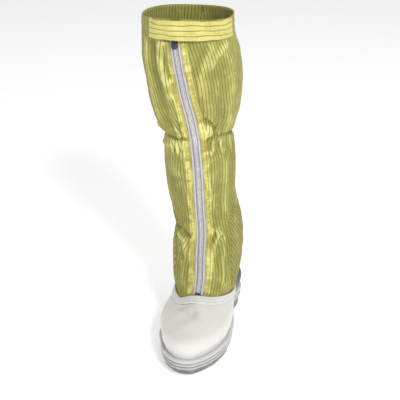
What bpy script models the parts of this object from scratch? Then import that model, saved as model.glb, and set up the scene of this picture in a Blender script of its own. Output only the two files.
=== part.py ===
# Cleanroom boot for the right foot. The toe points to -Y, the inner side of the foot to +X.
# The origin is on the floor under the middle of the heel.
import math

import bpy
import numpy as np

MM = 0.001

# Driving sizes, metres
SOLE_LENGTH = 276 * MM
BALL_WIDTH = 108 * MM
THROAT_RISE = 78 * MM
BOOT_HEIGHT = 487 * MM
CALF_WIDTH = 140 * MM
HEEL_BACK = 40 * MM
BED_HEIGHT = 30 * MM
RIM_RISE = 5.6 * MM
WALL_INSET = 5.3 * MM
UPPER_WALL = 1.8 * MM
FABRIC_WALL = 1.2 * MM
GAP = 0.3 * MM
OVERLAY = 1.2 * MM
SLOT_HALF = 7.5 * MM
FACING_EDGE = 17.5 * MM
FACING_THICK = 1.0 * MM
TAPE_THICK = 1.0 * MM
STRAP_THICK = 2.0 * MM
STRAP_STAND_OFF = 7.0 * MM
TREAD_DEPTH = 3.5 * MM

# Outline of the foot. Along: share of the sole's length from the heel.
# Lateral and medial: half width there, as a share of an ellipse's of the ball's half width.
FOOT = [
    # along, lateral, medial
    (0.00, 1.22, 1.22),
    (0.10, 1.01, 1.00),
    (0.25, 0.77, 0.675),
    (0.40, 0.83, 0.755),
    (0.50, 0.96, 0.88),
    (0.60, 1.08, 0.965),
    (0.70, 1.08, 1.03),
    (0.80, 1.02, 1.02),
    (0.90, 1.05, 0.98),
    (0.95, 1.02, 0.97),
    (1.00, 1.15, 1.15),
]

# Top of the footbed and the tread's underside, as shares of the bed's height at the heel
BED = [(0.0, 1.0), (0.25, 0.93), (0.5, 0.77), (0.7, 0.683), (0.85, 0.717), (1.0, 0.867)]
TREAD = [(0.0, 0.083), (0.06, 0.0), (0.30, 0.0), (0.38, 0.067), (0.45, 0.067),
         (0.55, 0.0), (0.78, 0.0), (0.90, 0.083), (1.0, 0.233)]

# Rings of the white upper, from the footbed to the topline.
# Front and back: shares of the sole's length from the origin. Rises: shares of the throat's rise.
# Half width and centre: shares of the ball's width. Full: how far the ring swells at its front.
# Foot: how much of the ring is the foot's own outline. Swell: how far that stands out over the rim.
UPPER = [
    # front, back, rise front, side, back, half width, centre, full, foot, swell
    (-0.835, 0.126, 0.000, 0.000, 0.000, 0.463, 0.000, 0.00, 1.00, 0.000),
    (-0.837, 0.129, 0.103, 0.103, 0.128, 0.454, 0.000, 0.00, 1.00, 0.000),
    (-0.832, 0.134, 0.215, 0.195, 0.240, 0.444, 0.000, 0.00, 1.00, 0.028),
    (-0.812, 0.136, 0.325, 0.280, 0.340, 0.430, 0.000, 0.16, 0.93, 0.036),
    (-0.760, 0.135, 0.420, 0.355, 0.430, 0.408, -0.005, 0.32, 0.72, 0.034),
    (-0.655, 0.131, 0.540, 0.418, 0.515, 0.378, -0.012, 0.42, 0.40, 0.022),
    (-0.517, 0.123, 0.705, 0.475, 0.600, 0.358, -0.026, 0.40, 0.08, 0.006),
    (-0.486, 0.118, 0.744, 0.575, 0.705, 0.350, -0.030, 0.40, 0.00, 0.000),
]

# Rings of the fabric shaft above the topline.
# Heights: shares of the boot's height. Front and back: shares of the sole's length.
# Half width and centre: shares of the calf's width. Tilt: share of the boot's height.
# Zip: where the zip runs, degrees from the front towards the inner side.
SHAFT = [
    # height front, side, back, front, back, half width, centre, full, tilt, zip
    (0.214, 0.201, 0.205, -0.406, 0.145, 0.316, -0.054, 0.25, 0.000, 6.6),
    (0.267, 0.263, 0.258, -0.355, 0.145, 0.351, -0.068, 0.10, 0.000, 5.5),
    (0.325, 0.325, 0.321, -0.324, 0.118, 0.350, -0.066, 0.00, 0.000, 5.0),
    (0.378, 0.378, 0.378, -0.317, 0.097, 0.350, -0.100, 0.00, 0.000, 8.5),
    (0.435, 0.435, 0.435, -0.324, 0.100, 0.353, -0.138, 0.00, 0.000, 13.0),
    (0.501, 0.501, 0.501, -0.336, 0.117, 0.367, -0.152, 0.00, 0.000, 14.3),
    (0.558, 0.558, 0.558, -0.343, 0.124, 0.367, -0.158, 0.00, 0.000, 14.0),
    (0.610, 0.610, 0.610, -0.339, 0.117, 0.344, -0.172, 0.00, 0.000, 14.0),
    (0.651, 0.651, 0.651, -0.363, 0.133, 0.394, -0.180, 0.00, 0.000, 13.0),
    (0.711, 0.711, 0.711, -0.393, 0.147, 0.460, -0.191, 0.00, 0.000, 10.0),
    (0.797, 0.797, 0.797, -0.416, 0.150, 0.493, -0.203, 0.00, 0.000, 4.0),
    (0.875, 0.872, 0.870, -0.417, 0.137, 0.474, -0.225, 0.10, 0.001, 0.5),
    (0.942, 0.928, 0.918, -0.408, 0.120, 0.424, -0.246, 0.20, 0.002, -0.7),
    (1.000, 0.984, 0.970, -0.400, 0.107, 0.415, -0.248, 0.20, 0.002, -0.9),
]
ZIP_AT_THROAT = 3.4
TUCK_ROW = 6.35
MOUTH_RISE = 3.0 * MM
PUFF_RISE = 9 * MM
PUFF_OUT = 1.6 * MM

# Side of the sole, from the inside of its rim down. Inset: share of the rim's rise, inwards.
# Drop: share of the rim's rise, down from the top of the rim. Foot: share of the way to the tread.
SIDE = [
    # inset, drop, foot
    (0.893, 0.107, 0.0),
    (0.600, 0.000, 0.0),
    (0.160, 0.120, 0.0),
    (0.000, 0.500, 0.0),
    (0.089, 0.950, 0.0),
    (0.429, 1.179, 0.0),
    (0.429, 1.375, 0.0),
    (0.161, 1.536, 0.0),
    (0.161, 1.839, 0.0),
    (0.536, 2.000, 0.0),
    (0.536, 2.214, 0.0),
    (0.286, 2.375, 0.0),
    (0.304, 2.714, 0.0),
    (0.571, 2.875, 0.0),
    (1.000, 2.875, 0.85),
    (1.357, 2.875, 1.0),
]

AROUND = 56
FREE_COLUMNS = 17
ACROSS_CAP = 6
NEAR = 0.3

UPPER_ROWS = [0.0, 1.0, 1.5, 2.0, 2.5, 3.0, 3.5, 4.0, 4.5, 5.0, 5.5, 6.0, 7.0]
BINDING_ROW = 6.0
COUNTER_ROWS = [1.0, 1.5, 2.0, 2.5, 3.0, 3.5, 4.0, 4.5, 5.0, 5.5, 5.86]
COUNTER_REACH = 60.0

# Rows of the shaft's grid: 0 tuck, 1 mouth, 2 puff, 3 and on the table's rings
SHAFT_ROWS = [0.0, 1.0, 1.5, 2.0, 2.5, 3.0, 4.0, 5.0, 6.0, 7.0, 8.0, 9.0, 9.5, 10.0, 10.5, 11.0,
              11.5, 12.0, 13.0, 14.0, 14.5, 15.0, 15.5, 16.0]
TOP_ROW = 16.0
STRAP_LOW_ROW = 15.0
SLIDER_ROW = 14.78
COIL_TOP_ROW = 14.85
STOP_ROW = 1.55
COIL_LOW_ROW = 2.0


for old in list(bpy.data.objects):
    bpy.data.objects.remove(old, do_unlink=True)


def smooth(xs, ys, x):
    """Cubic through a table's points that never swings past them. ys may hold columns."""
    xs = np.asarray(xs, float)
    ys = np.asarray(ys, float)
    if ys.ndim == 1:
        return smooth(xs, ys[:, None], x)[..., 0]
    x = np.atleast_1d(np.asarray(x, float))
    step = np.diff(xs)[:, None]
    slope = np.diff(ys, axis=0) / step
    lean = np.zeros_like(ys)
    lean[0] = slope[0]
    lean[-1] = slope[-1]
    first, second = slope[:-1], slope[1:]
    a = 2 * step[1:] + step[:-1]
    b = step[1:] + 2 * step[:-1]
    same = first * second > 0
    safe_first = np.where(same, first, 1.0)
    safe_second = np.where(same, second, 1.0)
    lean[1:-1] = np.where(same, (a + b) / (a / safe_first + b / safe_second), 0.0)
    i = np.clip(np.searchsorted(xs, x, side="right") - 1, 0, len(xs) - 2)
    h = step[i]
    t = ((x - xs[i]) / np.diff(xs)[i])[:, None]
    return (ys[i] * (2 * t**3 - 3 * t**2 + 1) + lean[i] * h * (t**3 - 2 * t**2 + t)
            + ys[i + 1] * (3 * t**2 - 2 * t**3) + lean[i + 1] * h * (t**3 - t**2))


FOOT_TABLE = np.array(FOOT)
UPPER_TABLE = np.array(UPPER)
SHAFT_TABLE = np.array(SHAFT)


def foot_plain(t):
    along = (1 + np.cos(t)) / 2
    shares = smooth(FOOT_TABLE[:, 0], FOOT_TABLE[:, 1:], along.ravel())
    share = np.where(np.sin(t).ravel() < 0, shares[:, 0], shares[:, 1]).reshape(t.shape)
    x = np.sin(t) * share * BALL_WIDTH / 2 + 0.022 * SOLE_LENGTH * along**6
    return x, HEEL_BACK - SOLE_LENGTH * along


def foot_outline(t, inset=0.0):
    """Outline of the foot at angle t, drawn in by inset along its own normal: x and y."""
    t = np.asarray(t, float)
    x, y = foot_plain(t)
    e = 0.02
    ahead, behind = foot_plain(t + e), foot_plain(t - e)
    dx, dy = ahead[0] - behind[0], ahead[1] - behind[1]
    size = np.hypot(dx, dy)
    return x - inset * dy / size, y + inset * dx / size


def bed_height(y):
    along = np.clip((HEEL_BACK - np.asarray(y, float)) / SOLE_LENGTH, 0, 1)
    return BED_HEIGHT * smooth([p[0] for p in BED], [p[1] for p in BED], along.ravel()).reshape(along.shape)


def tread_height(y):
    along = np.clip((HEEL_BACK - np.asarray(y, float)) / SOLE_LENGTH, 0, 1)
    return BED_HEIGHT * smooth([p[0] for p in TREAD], [p[1] for p in TREAD], along.ravel()).reshape(along.shape)


def upper_ring(row, t):
    front, back, rise_f, rise_s, rise_b, half, centre, full, foot, swell = row
    c, s = np.cos(t), np.sin(t)
    foot_x, foot_y = foot_outline(t, WALL_INSET - swell * BALL_WIDTH * (1 - 0.6 * np.maximum(c, 0)**4))
    own_x = BALL_WIDTH * (s * half * (1 + full * (1 + c) / 2) + centre)
    y = foot * foot_y + (1 - foot) * SOLE_LENGTH * (back + (front - back) * (1 + c) / 2)
    rise = rise_s + (rise_f - rise_s) * np.maximum(c, 0)**2 + (rise_b - rise_s) * np.maximum(-c, 0)**2
    base = foot * bed_height(y) + (1 - foot) * 0.7 * BED_HEIGHT
    z = base + THROAT_RISE * rise + GAP * foot
    return np.stack([foot * foot_x + (1 - foot) * own_x, y, z], axis=-1)


def upper_point(t, v):
    """A point of the upper's outer face: t around from the front, v up from the footbed."""
    t, v = np.broadcast_arrays(np.asarray(t, float), np.asarray(v, float))
    rows = smooth(range(len(UPPER)), UPPER_TABLE, v.ravel())
    flat = upper_ring([rows[:, k] for k in range(rows.shape[1])], t.ravel())
    return flat.reshape(t.shape + (3,))


def moved_out(point, t, v, out, top):
    """The surface's point moved out along its own normal."""
    t, v = np.broadcast_arrays(np.asarray(t, float), np.asarray(v, float))
    e = 1e-3
    along = point(t + e, v) - point(t - e, v)
    up = point(t, np.minimum(v + e, top)) - point(t, np.maximum(v - e, 0.0))
    normal = np.cross(along, up)
    normal /= np.linalg.norm(normal, axis=-1, keepdims=True)
    return point(t, v) + normal * np.asarray(out)[..., None]


def upper_out(t, v, out=0.0):
    return moved_out(upper_point, t, v, np.broadcast_to(out, np.broadcast(t, v).shape), 7.0)


def upper_lift(t):
    """Unit direction that carries on up the upper's face past its top edge."""
    way = upper_point(t, 7.0) - upper_point(t, 6.8)
    return way / np.linalg.norm(way, axis=-1, keepdims=True)


def shaft_ring(row, t):
    high_f, high_s, high_b, front, back, half, centre, full, tilt = row[:9]
    c, s = np.cos(t), np.sin(t)
    y = SOLE_LENGTH * (back + (front - back) * (1 + c) / 2)
    x = CALF_WIDTH * (s * half * (1 + full * (1 + c) / 2) + centre)
    high = high_s + (high_f - high_s) * np.maximum(c, 0)**2 + (high_b - high_s) * np.maximum(-c, 0)**2
    return np.stack([x, y, BOOT_HEIGHT * (high + tilt * s)], axis=-1)


def shaft_rings(t):
    """All the shaft's rings at the angles t: tuck, mouth, puff, then the table's."""
    inside = -(UPPER_WALL + GAP)
    tuck = upper_out(t, TUCK_ROW, inside)
    lift = upper_lift(t)
    mouth = upper_out(t, 7.0, inside) + lift * MOUTH_RISE
    puff = upper_out(t, 7.0, PUFF_OUT * np.sin(t)**2) + lift * PUFF_RISE
    return np.stack([tuck, mouth, puff] + [shaft_ring(row, t) for row in SHAFT_TABLE])


def shaft_point(t, v):
    """A point of the shaft's outer face: t around from the front, v up through its rings."""
    t, v = np.broadcast_arrays(np.asarray(t, float), np.asarray(v, float))
    ft, fv = t.ravel(), v.ravel()
    rings = shaft_rings(ft)
    out = np.empty((ft.size, 3))
    for value in np.unique(fv):
        here = fv == value
        part = rings[:, here, :]
        flat = part.reshape(len(rings), -1)
        out[here] = smooth(range(len(rings)), flat, value).reshape(-1, 3)
    return out.reshape(t.shape + (3,))


def zip_angle(v):
    angles = [ZIP_AT_THROAT] * 3 + [row[9] for row in SHAFT]
    return np.radians(smooth(range(len(angles)), angles, v))


def around(a, v):
    """Angle for a column: a within NEAR of the zip is in step with millimetres along the cloth."""
    centre = zip_angle(np.atleast_1d(v))
    e = 1e-3
    stride = np.linalg.norm(shaft_point(centre + e, v) - shaft_point(centre - e, v), axis=-1) / (2 * e)
    close = FACING_EDGE / stride
    size = np.abs(a)
    far = close + (size - NEAR) / (math.pi - NEAR) * (math.pi - close)
    return centre + np.sign(a) * np.where(size <= NEAR, size / NEAR * close, far)


def shaft_out(a, v, out=0.0):
    t = around(a, v)
    return moved_out(shaft_point, t, v, np.broadcast_to(out, t.shape), TOP_ROW)


def on_rows(row_at, rows, base):
    """Rows of a grid; one that falls between two base rows lies on the flat between them."""
    out = []
    for v in rows:
        low = max(b for b in base if b <= v)
        high = min(b for b in base if b >= v)
        share = 0.0 if high == low else (v - low) / (high - low)
        out.append(row_at(low) * (1 - share) + row_at(high) * share)
    return np.stack(out)


def near(distance):
    return distance / FACING_EDGE * NEAR


def material(name, colour, rough, metal=0.0):
    m = bpy.data.materials.new(name)
    m.use_nodes = True
    shader = m.node_tree.nodes["Principled BSDF"]
    shader.inputs["Base Color"].default_value = (*colour, 1.0)
    shader.inputs["Roughness"].default_value = rough
    shader.inputs["Metallic"].default_value = metal
    m.diffuse_color = (*colour, 1.0)
    return m


boot = bpy.data.collections.new("cleanroom_boot")
bpy.context.scene.collection.children.link(boot)
cutters = bpy.data.collections.new("cutters")
bpy.context.scene.collection.children.link(cutters)


def new_object(name, points, faces, mat, collection=boot):
    mesh = bpy.data.meshes.new(name)
    mesh.from_pydata([tuple(map(float, p)) for p in points], [], faces)
    mesh.materials.append(mat)
    mesh.update()
    obj = bpy.data.objects.new(name, mesh)
    collection.objects.link(obj)
    return obj


def split(a, b, c, d):
    """A four-sided face as two triangles, always along the same diagonal."""
    return [(a, b, c), (a, c, d)]


def sheet(name, grid, mat, closed=False):
    """An open surface from a grid of points, rows up, columns around."""
    rows, cols = grid.shape[:2]
    last = cols if closed else cols - 1
    faces = []
    for i in range(rows - 1):
        for j in range(last):
            k = (j + 1) % cols
            faces += split(i * cols + j, i * cols + k, (i + 1) * cols + k, (i + 1) * cols + j)
    return new_object(name, grid.reshape(-1, 3), faces, mat)


def thicken(obj, thickness):
    """Gives a surface its wall, inwards from the drawn face."""
    wall = obj.modifiers.new("wall", "SOLIDIFY")
    wall.thickness = thickness
    wall.offset = -1.0
    wall.use_even_offset = True
    wall.use_quality_normals = True
    return obj


def overlay(name, outer, inner, mat):
    """A thin open panel between two grids of the same form, closed around its edges."""
    rows, cols = outer.shape[:2]
    size = rows * cols
    faces = []
    for i in range(rows - 1):
        for j in range(cols - 1):
            a, b, c, d = i * cols + j, i * cols + j + 1, (i + 1) * cols + j + 1, (i + 1) * cols + j
            faces += split(a, b, c, d)
            faces += [(size + c, size + b, size + a), (size + d, size + c, size + a)]
    edge = [j for j in range(cols)] + [i * cols + cols - 1 for i in range(1, rows)]
    edge += [(rows - 1) * cols + j for j in range(cols - 2, -1, -1)] + [i * cols for i in range(rows - 2, 0, -1)]
    for k, a in enumerate(edge):
        b = edge[(k + 1) % len(edge)]
        faces.append((b, a, size + a, size + b))
    return new_object(name, np.concatenate([outer.reshape(-1, 3), inner.reshape(-1, 3)]), faces, mat)


def ring_solid(name, rings, mat):
    """A closed band: each ring is the same profile, the rings run once around."""
    count, size = rings.shape[:2]
    faces = []
    for i in range(count):
        n = (i + 1) % count
        for j in range(size):
            k = (j + 1) % size
            faces += split(i * size + j, n * size + j, n * size + k, i * size + k)
    return new_object(name, rings.reshape(-1, 3), faces, mat)


def block(name, size, place, axes, mat, bevel=0.0, collection=boot):
    """A box with bevelled edges, its middle at place, its sides along axes."""
    half = np.array(size) / 2
    points = []
    for sx in (-1, 1):
        for sy in (-1, 1):
            for sz in (-1, 1):
                points.append(place + axes[0] * sx * half[0] + axes[1] * sy * half[1] + axes[2] * sz * half[2])
    faces = [(0, 1, 3, 2), (4, 6, 7, 5), (0, 4, 5, 1), (2, 3, 7, 6), (0, 2, 6, 4), (1, 5, 7, 3)]
    obj = new_object(name, points, faces, mat, collection)
    if bevel:
        edge = obj.modifiers.new("edges", "BEVEL")
        edge.width = bevel
        edge.segments = 2
        edge.limit_method = "ANGLE"
    return obj


white = material("upper_white", (0.80, 0.78, 0.75), 0.42)
sole_white = material("sole_white", (0.72, 0.71, 0.70), 0.55)
black = material("counter_black", (0.025, 0.024, 0.022), 0.5)
yellow = material("fabric_yellow", (0.47, 0.42, 0.15), 0.85)
facing_yellow = material("facing_yellow", (0.62, 0.56, 0.20), 0.85)
strap_yellow = material("strap_yellow", (0.78, 0.70, 0.28), 0.8)
tape_grey = material("tape_grey", (0.58, 0.56, 0.60), 0.8)
coil_grey = material("coil_grey", (0.50, 0.50, 0.53), 0.35)
dark_metal = material("slider_dark", (0.06, 0.06, 0.065), 0.35, 1.0)
board = material("insole_grey", (0.42, 0.42, 0.42), 0.9)


# Sole: rings down its side, closed above by the footbed and below by the tread
def sole_rings():
    t = np.linspace(0, 2 * math.pi, AROUND, endpoint=False)
    rings = []
    x, y = foot_outline(t, WALL_INSET - GAP)
    rings.append(np.stack([x, y, bed_height(y)], axis=-1))
    for inset, drop, foot in SIDE:
        x, y = foot_outline(t, inset * RIM_RISE)
        top = bed_height(y) + RIM_RISE * (1 - drop)
        rings.append(np.stack([x, y, top + (tread_height(y) - top) * foot], axis=-1))
    return rings


def cap_faces(points, ring_start, count, height, across, upwards):
    """Closes a ring with strips that run across the foot, each point set to the height's form."""
    half = count // 2
    faces = []
    rows = []
    for i in range(1, half):
        a = ring_start + i
        b = ring_start + count - i
        pa, pb = points[a], points[b]
        row = [a]
        for k in range(1, across):
            share = k / across
            x = pa[0] + (pb[0] - pa[0]) * share
            y = pa[1] + (pb[1] - pa[1]) * share
            points.append(np.array([x, y, float(height(np.array([y]))[0])]))
            row.append(len(points) - 1)
        row.append(b)
        rows.append(row)
    for k in range(across):
        faces.append((ring_start, rows[0][k], rows[0][k + 1]))
        faces.append((ring_start + half, rows[-1][k + 1], rows[-1][k]))
    for i in range(len(rows) - 1):
        for k in range(across):
            faces.append((rows[i][k], rows[i + 1][k], rows[i + 1][k + 1], rows[i][k + 1]))
    if not upwards:
        faces = [tuple(reversed(f)) for f in faces]
    return faces


def make_sole():
    rings = sole_rings()
    count = AROUND
    points = [p for ring in rings for p in ring]
    faces = []
    for i in range(len(rings) - 1):
        for j in range(count):
            k = (j + 1) % count
            faces.append((i * count + j, (i + 1) * count + j, (i + 1) * count + k, i * count + k))
    faces += cap_faces(points, 0, count, bed_height, ACROSS_CAP, True)
    faces += cap_faces(points, (len(rings) - 1) * count, count, tread_height, ACROSS_CAP, False)
    return new_object("sole", points, faces, sole_white)


sole = make_sole()

# Grooves across the tread: along is a share of the sole's length, the rest shares of the ball's width
GROOVES = [
    # along, lateral end, medial end
    (0.075, -0.16, 0.14),
    (0.120, -0.19, 0.17),
    (0.170, -0.21, 0.19),
    (0.220, -0.20, 0.18),
    (0.575, -0.40, 0.31),
    (0.620, -0.42, 0.34),
    (0.665, -0.41, 0.36),
    (0.710, -0.38, 0.36),
    (0.755, -0.35, 0.35),
    (0.800, -0.30, 0.32),
]
GROOVE_WIDTH = 4.5 * MM


def make_grooves():
    points, faces = [], []
    for along, lateral, medial in GROOVES:
        y = HEEL_BACK - SOLE_LENGTH * along
        top = float(tread_height(np.array([y]))[0]) + TREAD_DEPTH
        start = len(points)
        for x in (lateral * BALL_WIDTH, medial * BALL_WIDTH):
            for side in (-1, 1):
                for z in (-5 * MM, top):
                    points.append((x, y + side * GROOVE_WIDTH / 2, z))
        for f in [(0, 1, 3, 2), (4, 6, 7, 5), (0, 4, 5, 1), (2, 3, 7, 6), (0, 2, 6, 4), (1, 5, 7, 3)]:
            faces.append(tuple(start + k for k in f))
    obj = new_object("tread_grooves", points, faces, sole_white, cutters)
    obj.hide_render = True
    obj.display_type = "WIRE"
    return obj


grooves = make_grooves()
cut = sole.modifiers.new("grooves", "BOOLEAN")
cut.operation = "DIFFERENCE"
cut.solver = "EXACT"
cut.object = grooves

# Insole: a thin board on the footbed, inside the upper's wall
def make_insole():
    count = AROUND
    inset = WALL_INSET + UPPER_WALL + 0.5 * MM
    t = np.linspace(0, 2 * math.pi, count, endpoint=False)
    x, y = foot_outline(t, inset)
    low = np.stack([x, y, bed_height(y) + GAP], axis=-1)
    high = np.stack([x, y, bed_height(y) + GAP + 3 * MM], axis=-1)
    points = [p for p in high] + [p for p in low]
    faces = []
    for j in range(count):
        k = (j + 1) % count
        faces.append((j, count + j, count + k, k))
    faces += cap_faces(points, 0, count, lambda v: bed_height(v) + GAP + 3 * MM, 4, True)
    faces += cap_faces(points, count, count, lambda v: bed_height(v) + GAP, 4, False)
    return new_object("insole", points, faces, board)


insole = make_insole()

# White upper: an open surface from the footbed to the topline, then its wall
t_upper = np.linspace(0, 2 * math.pi, AROUND, endpoint=False)
upper_grid = upper_point(t_upper[None, :], np.array(UPPER_ROWS)[:, None])
upper = thicken(sheet("upper", upper_grid, white, closed=True), UPPER_WALL)

# Black heel counter, over the upper between the rim and the binding
step = 2 * math.pi / AROUND
reach = int(round(math.radians(COUNTER_REACH) / step))
t_counter = math.pi + step * np.arange(-reach, reach + 1)
counter_out = on_rows(lambda v: upper_out(t_counter, v, 1.6 * GAP + OVERLAY), COUNTER_ROWS, UPPER_ROWS)
counter_in = on_rows(lambda v: upper_out(t_counter, v, 1.6 * GAP), COUNTER_ROWS, UPPER_ROWS)
counter = overlay("heel_counter", counter_out, counter_in, black)

# White binding: laps the upper's top edge and the band below it
def make_binding():
    lift = upper_lift(t_upper)
    outer = GAP + OVERLAY
    low_in = upper_out(t_upper, BINDING_ROW, GAP)
    low_out = upper_out(t_upper, BINDING_ROW, outer)
    top_out = upper_out(t_upper, 7.0, outer)
    crown_out = upper_out(t_upper, 7.0, outer - 0.7 * MM) + lift * 1.3 * MM
    crown_in = upper_out(t_upper, 7.0, -UPPER_WALL + 0.6 * MM) + lift * 1.5 * MM
    edge_in = upper_out(t_upper, 7.0, -UPPER_WALL) + lift * 0.5 * MM
    edge_out = upper_out(t_upper, 7.0, GAP) + lift * 0.5 * MM
    loop = [low_in, low_out, top_out, crown_out, crown_in, edge_in, edge_out]
    return ring_solid("topline_binding", np.stack(loop, axis=1), white)


binding = make_binding()

# Yellow shaft: a tube of cloth, open down its front for the zip
slot = near(SLOT_HALF)
free = np.linspace(NEAR, math.pi, FREE_COLUMNS + 1)
medial_side = [slot, near(12.5 * MM)] + list(free)
lateral_side = [-a for a in reversed(medial_side[:-1])]
shaft_columns = np.array(medial_side + [2 * math.pi + a for a in lateral_side])


def unrolled(columns):
    """Columns past the back count on from it, so the grid runs once around."""
    return np.where(columns > math.pi, columns - 2 * math.pi, columns)


def shaft_grid(columns, rows, out=0.0):
    out = np.broadcast_to(out, (len(columns),))
    angles = unrolled(np.asarray(columns, float))
    return on_rows(lambda v: shaft_out(angles, np.full(len(columns), float(v)), out), rows, SHAFT_ROWS)


shaft = thicken(sheet("shaft", shaft_grid(shaft_columns, SHAFT_ROWS), yellow), FABRIC_WALL)

# Zip: two facings over the slot's edges, two tapes in the slot, the coil between them
facing_rows = [v for v in SHAFT_ROWS if 2.0 <= v < STRAP_LOW_ROW] + [STRAP_LOW_ROW - 0.1]
facing_columns = np.array([near(7.6 * MM), near(12.5 * MM), NEAR])
tape_rows = [v for v in SHAFT_ROWS if 1.5 <= v <= 15.5]
tape_columns = np.array([near(3.4 * MM), near(7.1 * MM)])
for side, word in ((1, "medial"), (-1, "lateral")):
    columns = side * facing_columns if side > 0 else -facing_columns[::-1]
    grid = shaft_grid(columns, facing_rows, 1.3 * GAP + FACING_THICK)
    overlay("zip_facing_" + word, grid, shaft_grid(columns, facing_rows, 1.3 * GAP), facing_yellow)
    columns = side * tape_columns if side > 0 else -tape_columns[::-1]
    grid = shaft_grid(columns, tape_rows, -0.1 * MM)
    overlay("zip_tape_" + word, grid, shaft_grid(columns, tape_rows, -0.1 * MM - TAPE_THICK), tape_grey)

coil_rows = [COIL_LOW_ROW] + [v for v in SHAFT_ROWS if COIL_LOW_ROW < v < COIL_TOP_ROW] + [COIL_TOP_ROW]
coil_columns = np.array([near(d * MM) for d in (-3.0, -1.5, 0.0, 1.5, 3.0)])
coil_out = np.array([0.2, 1.5, 1.0, 1.5, 0.2]) * MM


def make_coil():
    """Two rounded rows side by side, closed behind."""
    face = shaft_grid(coil_columns, coil_rows, coil_out)
    back = shaft_grid(coil_columns, coil_rows, -1.1 * MM)
    size = len(coil_columns)
    points, faces = [], []
    loop = [(k, 0) for k in range(size)] + [(size - 1, 1), (0, 1)]
    for i in range(len(coil_rows)):
        for k, where in loop:
            points.append(back[i, k] if where else face[i, k])
    n = len(loop)
    for i in range(len(coil_rows) - 1):
        for j in range(n):
            k = (j + 1) % n
            faces.append((i * n + j, i * n + k, (i + 1) * n + k, (i + 1) * n + j))
    faces.append(tuple(range(n - 1, -1, -1)))
    faces.append(tuple((len(coil_rows) - 1) * n + j for j in range(n)))
    return new_object("zip_coil", points, faces, coil_grey)


coil = make_coil()


def zip_frame(row, out):
    """Place on the zip's line and its axes: across, up the zip, outwards."""
    vs = np.array([row])
    place = shaft_out(np.zeros(1), vs, out)[0]
    up = (shaft_out(np.zeros(1), vs + 0.05, out)[0] - shaft_out(np.zeros(1), vs - 0.05, out)[0])
    side = shaft_out(np.array([0.02]), vs, out)[0] - shaft_out(np.array([-0.02]), vs, out)[0]
    up /= np.linalg.norm(up)
    side -= up * side.dot(up)
    side /= np.linalg.norm(side)
    return place, np.array([side, up, np.cross(side, up)])


# Bottom stop: a small clip under the end of the coil
stop_place, stop_axes = zip_frame(STOP_ROW, 1.2 * MM)
stop = block("zip_bottom_stop", (9 * MM, 4.6 * MM, 1.8 * MM), stop_place, stop_axes, dark_metal, 0.5 * MM)

# Slider: a body over the coil's end with two ears, and the pin the tab turns on
slider_place, slider_axes = zip_frame(SLIDER_ROW, 1.9 * MM)
BODY_LENGTH = 12 * MM
PIN_RADIUS = 0.65 * MM
PIN_OUT = 3.4 * MM
PIN_UP = 2.6 * MM


def solid_of_revolution_points(radius, half, place, axes, count=12):
    ring = []
    for side in (-1, 1):
        for k in range(count):
            a = 2 * math.pi * k / count
            ring.append(place + axes[0] * side * half
                        + axes[1] * radius * math.cos(a) + axes[2] * radius * math.sin(a))
    return ring


def make_slider():
    """A shield-shaped plate with two ears that carry a pin."""
    outline = [(-3.2, -6.0), (3.2, -6.0), (4.6, -3.0), (5.2, 1.5), (4.8, 4.6), (2.6, 6.0),
               (-2.6, 6.0), (-4.8, 4.6), (-5.2, 1.5), (-4.6, -3.0)]
    points, faces = [], []
    levels = [(0.0, 0.92), (0.5, 1.0), (1.1, 1.0), (1.6, 0.86)]
    for height, share in levels:
        for x, y in outline:
            points.append(slider_place + slider_axes[0] * x * share * MM
                          + slider_axes[1] * y * share * MM + slider_axes[2] * height * MM)
    n = len(outline)
    for i in range(len(levels) - 1):
        for j in range(n):
            k = (j + 1) % n
            faces.append((i * n + j, i * n + k, (i + 1) * n + k, (i + 1) * n + j))
    faces.append(tuple(range(n - 1, -1, -1)))
    faces.append(tuple((len(levels) - 1) * n + j for j in range(n)))
    plate = new_object("zip_slider", points, faces, dark_metal)
    parts = []
    pin_place = slider_place + slider_axes[1] * PIN_UP + slider_axes[2] * PIN_OUT
    for side in (-1, 1):
        place = (slider_place + slider_axes[0] * side * 2.6 * MM + slider_axes[1] * PIN_UP
                 + slider_axes[2] * 2.6 * MM)
        parts.append(block("slider_ear_cutter", (1.2 * MM, 1.8 * MM, 3.2 * MM), place, slider_axes,
                           dark_metal, 0.0, cutters))
    ring = solid_of_revolution_points(PIN_RADIUS, 2.6 * MM, pin_place, slider_axes)
    pin_faces = [tuple(range(11, -1, -1)), tuple(range(12, 24))]
    for j in range(12):
        k = (j + 1) % 12
        pin_faces.append((j, k, 12 + k, 12 + j))
    parts.append(new_object("slider_pin", ring, pin_faces, dark_metal, cutters))
    for number, part in enumerate(parts):
        part.hide_render = True
        part.display_type = "WIRE"
        join = plate.modifiers.new("join_" + str(number), "BOOLEAN")
        join.operation = "UNION"
        join.solver = "EXACT"
        join.object = part
    return plate, pin_place


slider, pin_place = make_slider()

# Pull tab: turned up behind the strap, an eye around the pin. Its origin is on the pin.
TAB_LENGTH = 21 * MM
TAB_THICK = 1.0 * MM
EYE_OUT = 1.5 * MM
EYE_HOLE = 0.95 * MM


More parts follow.
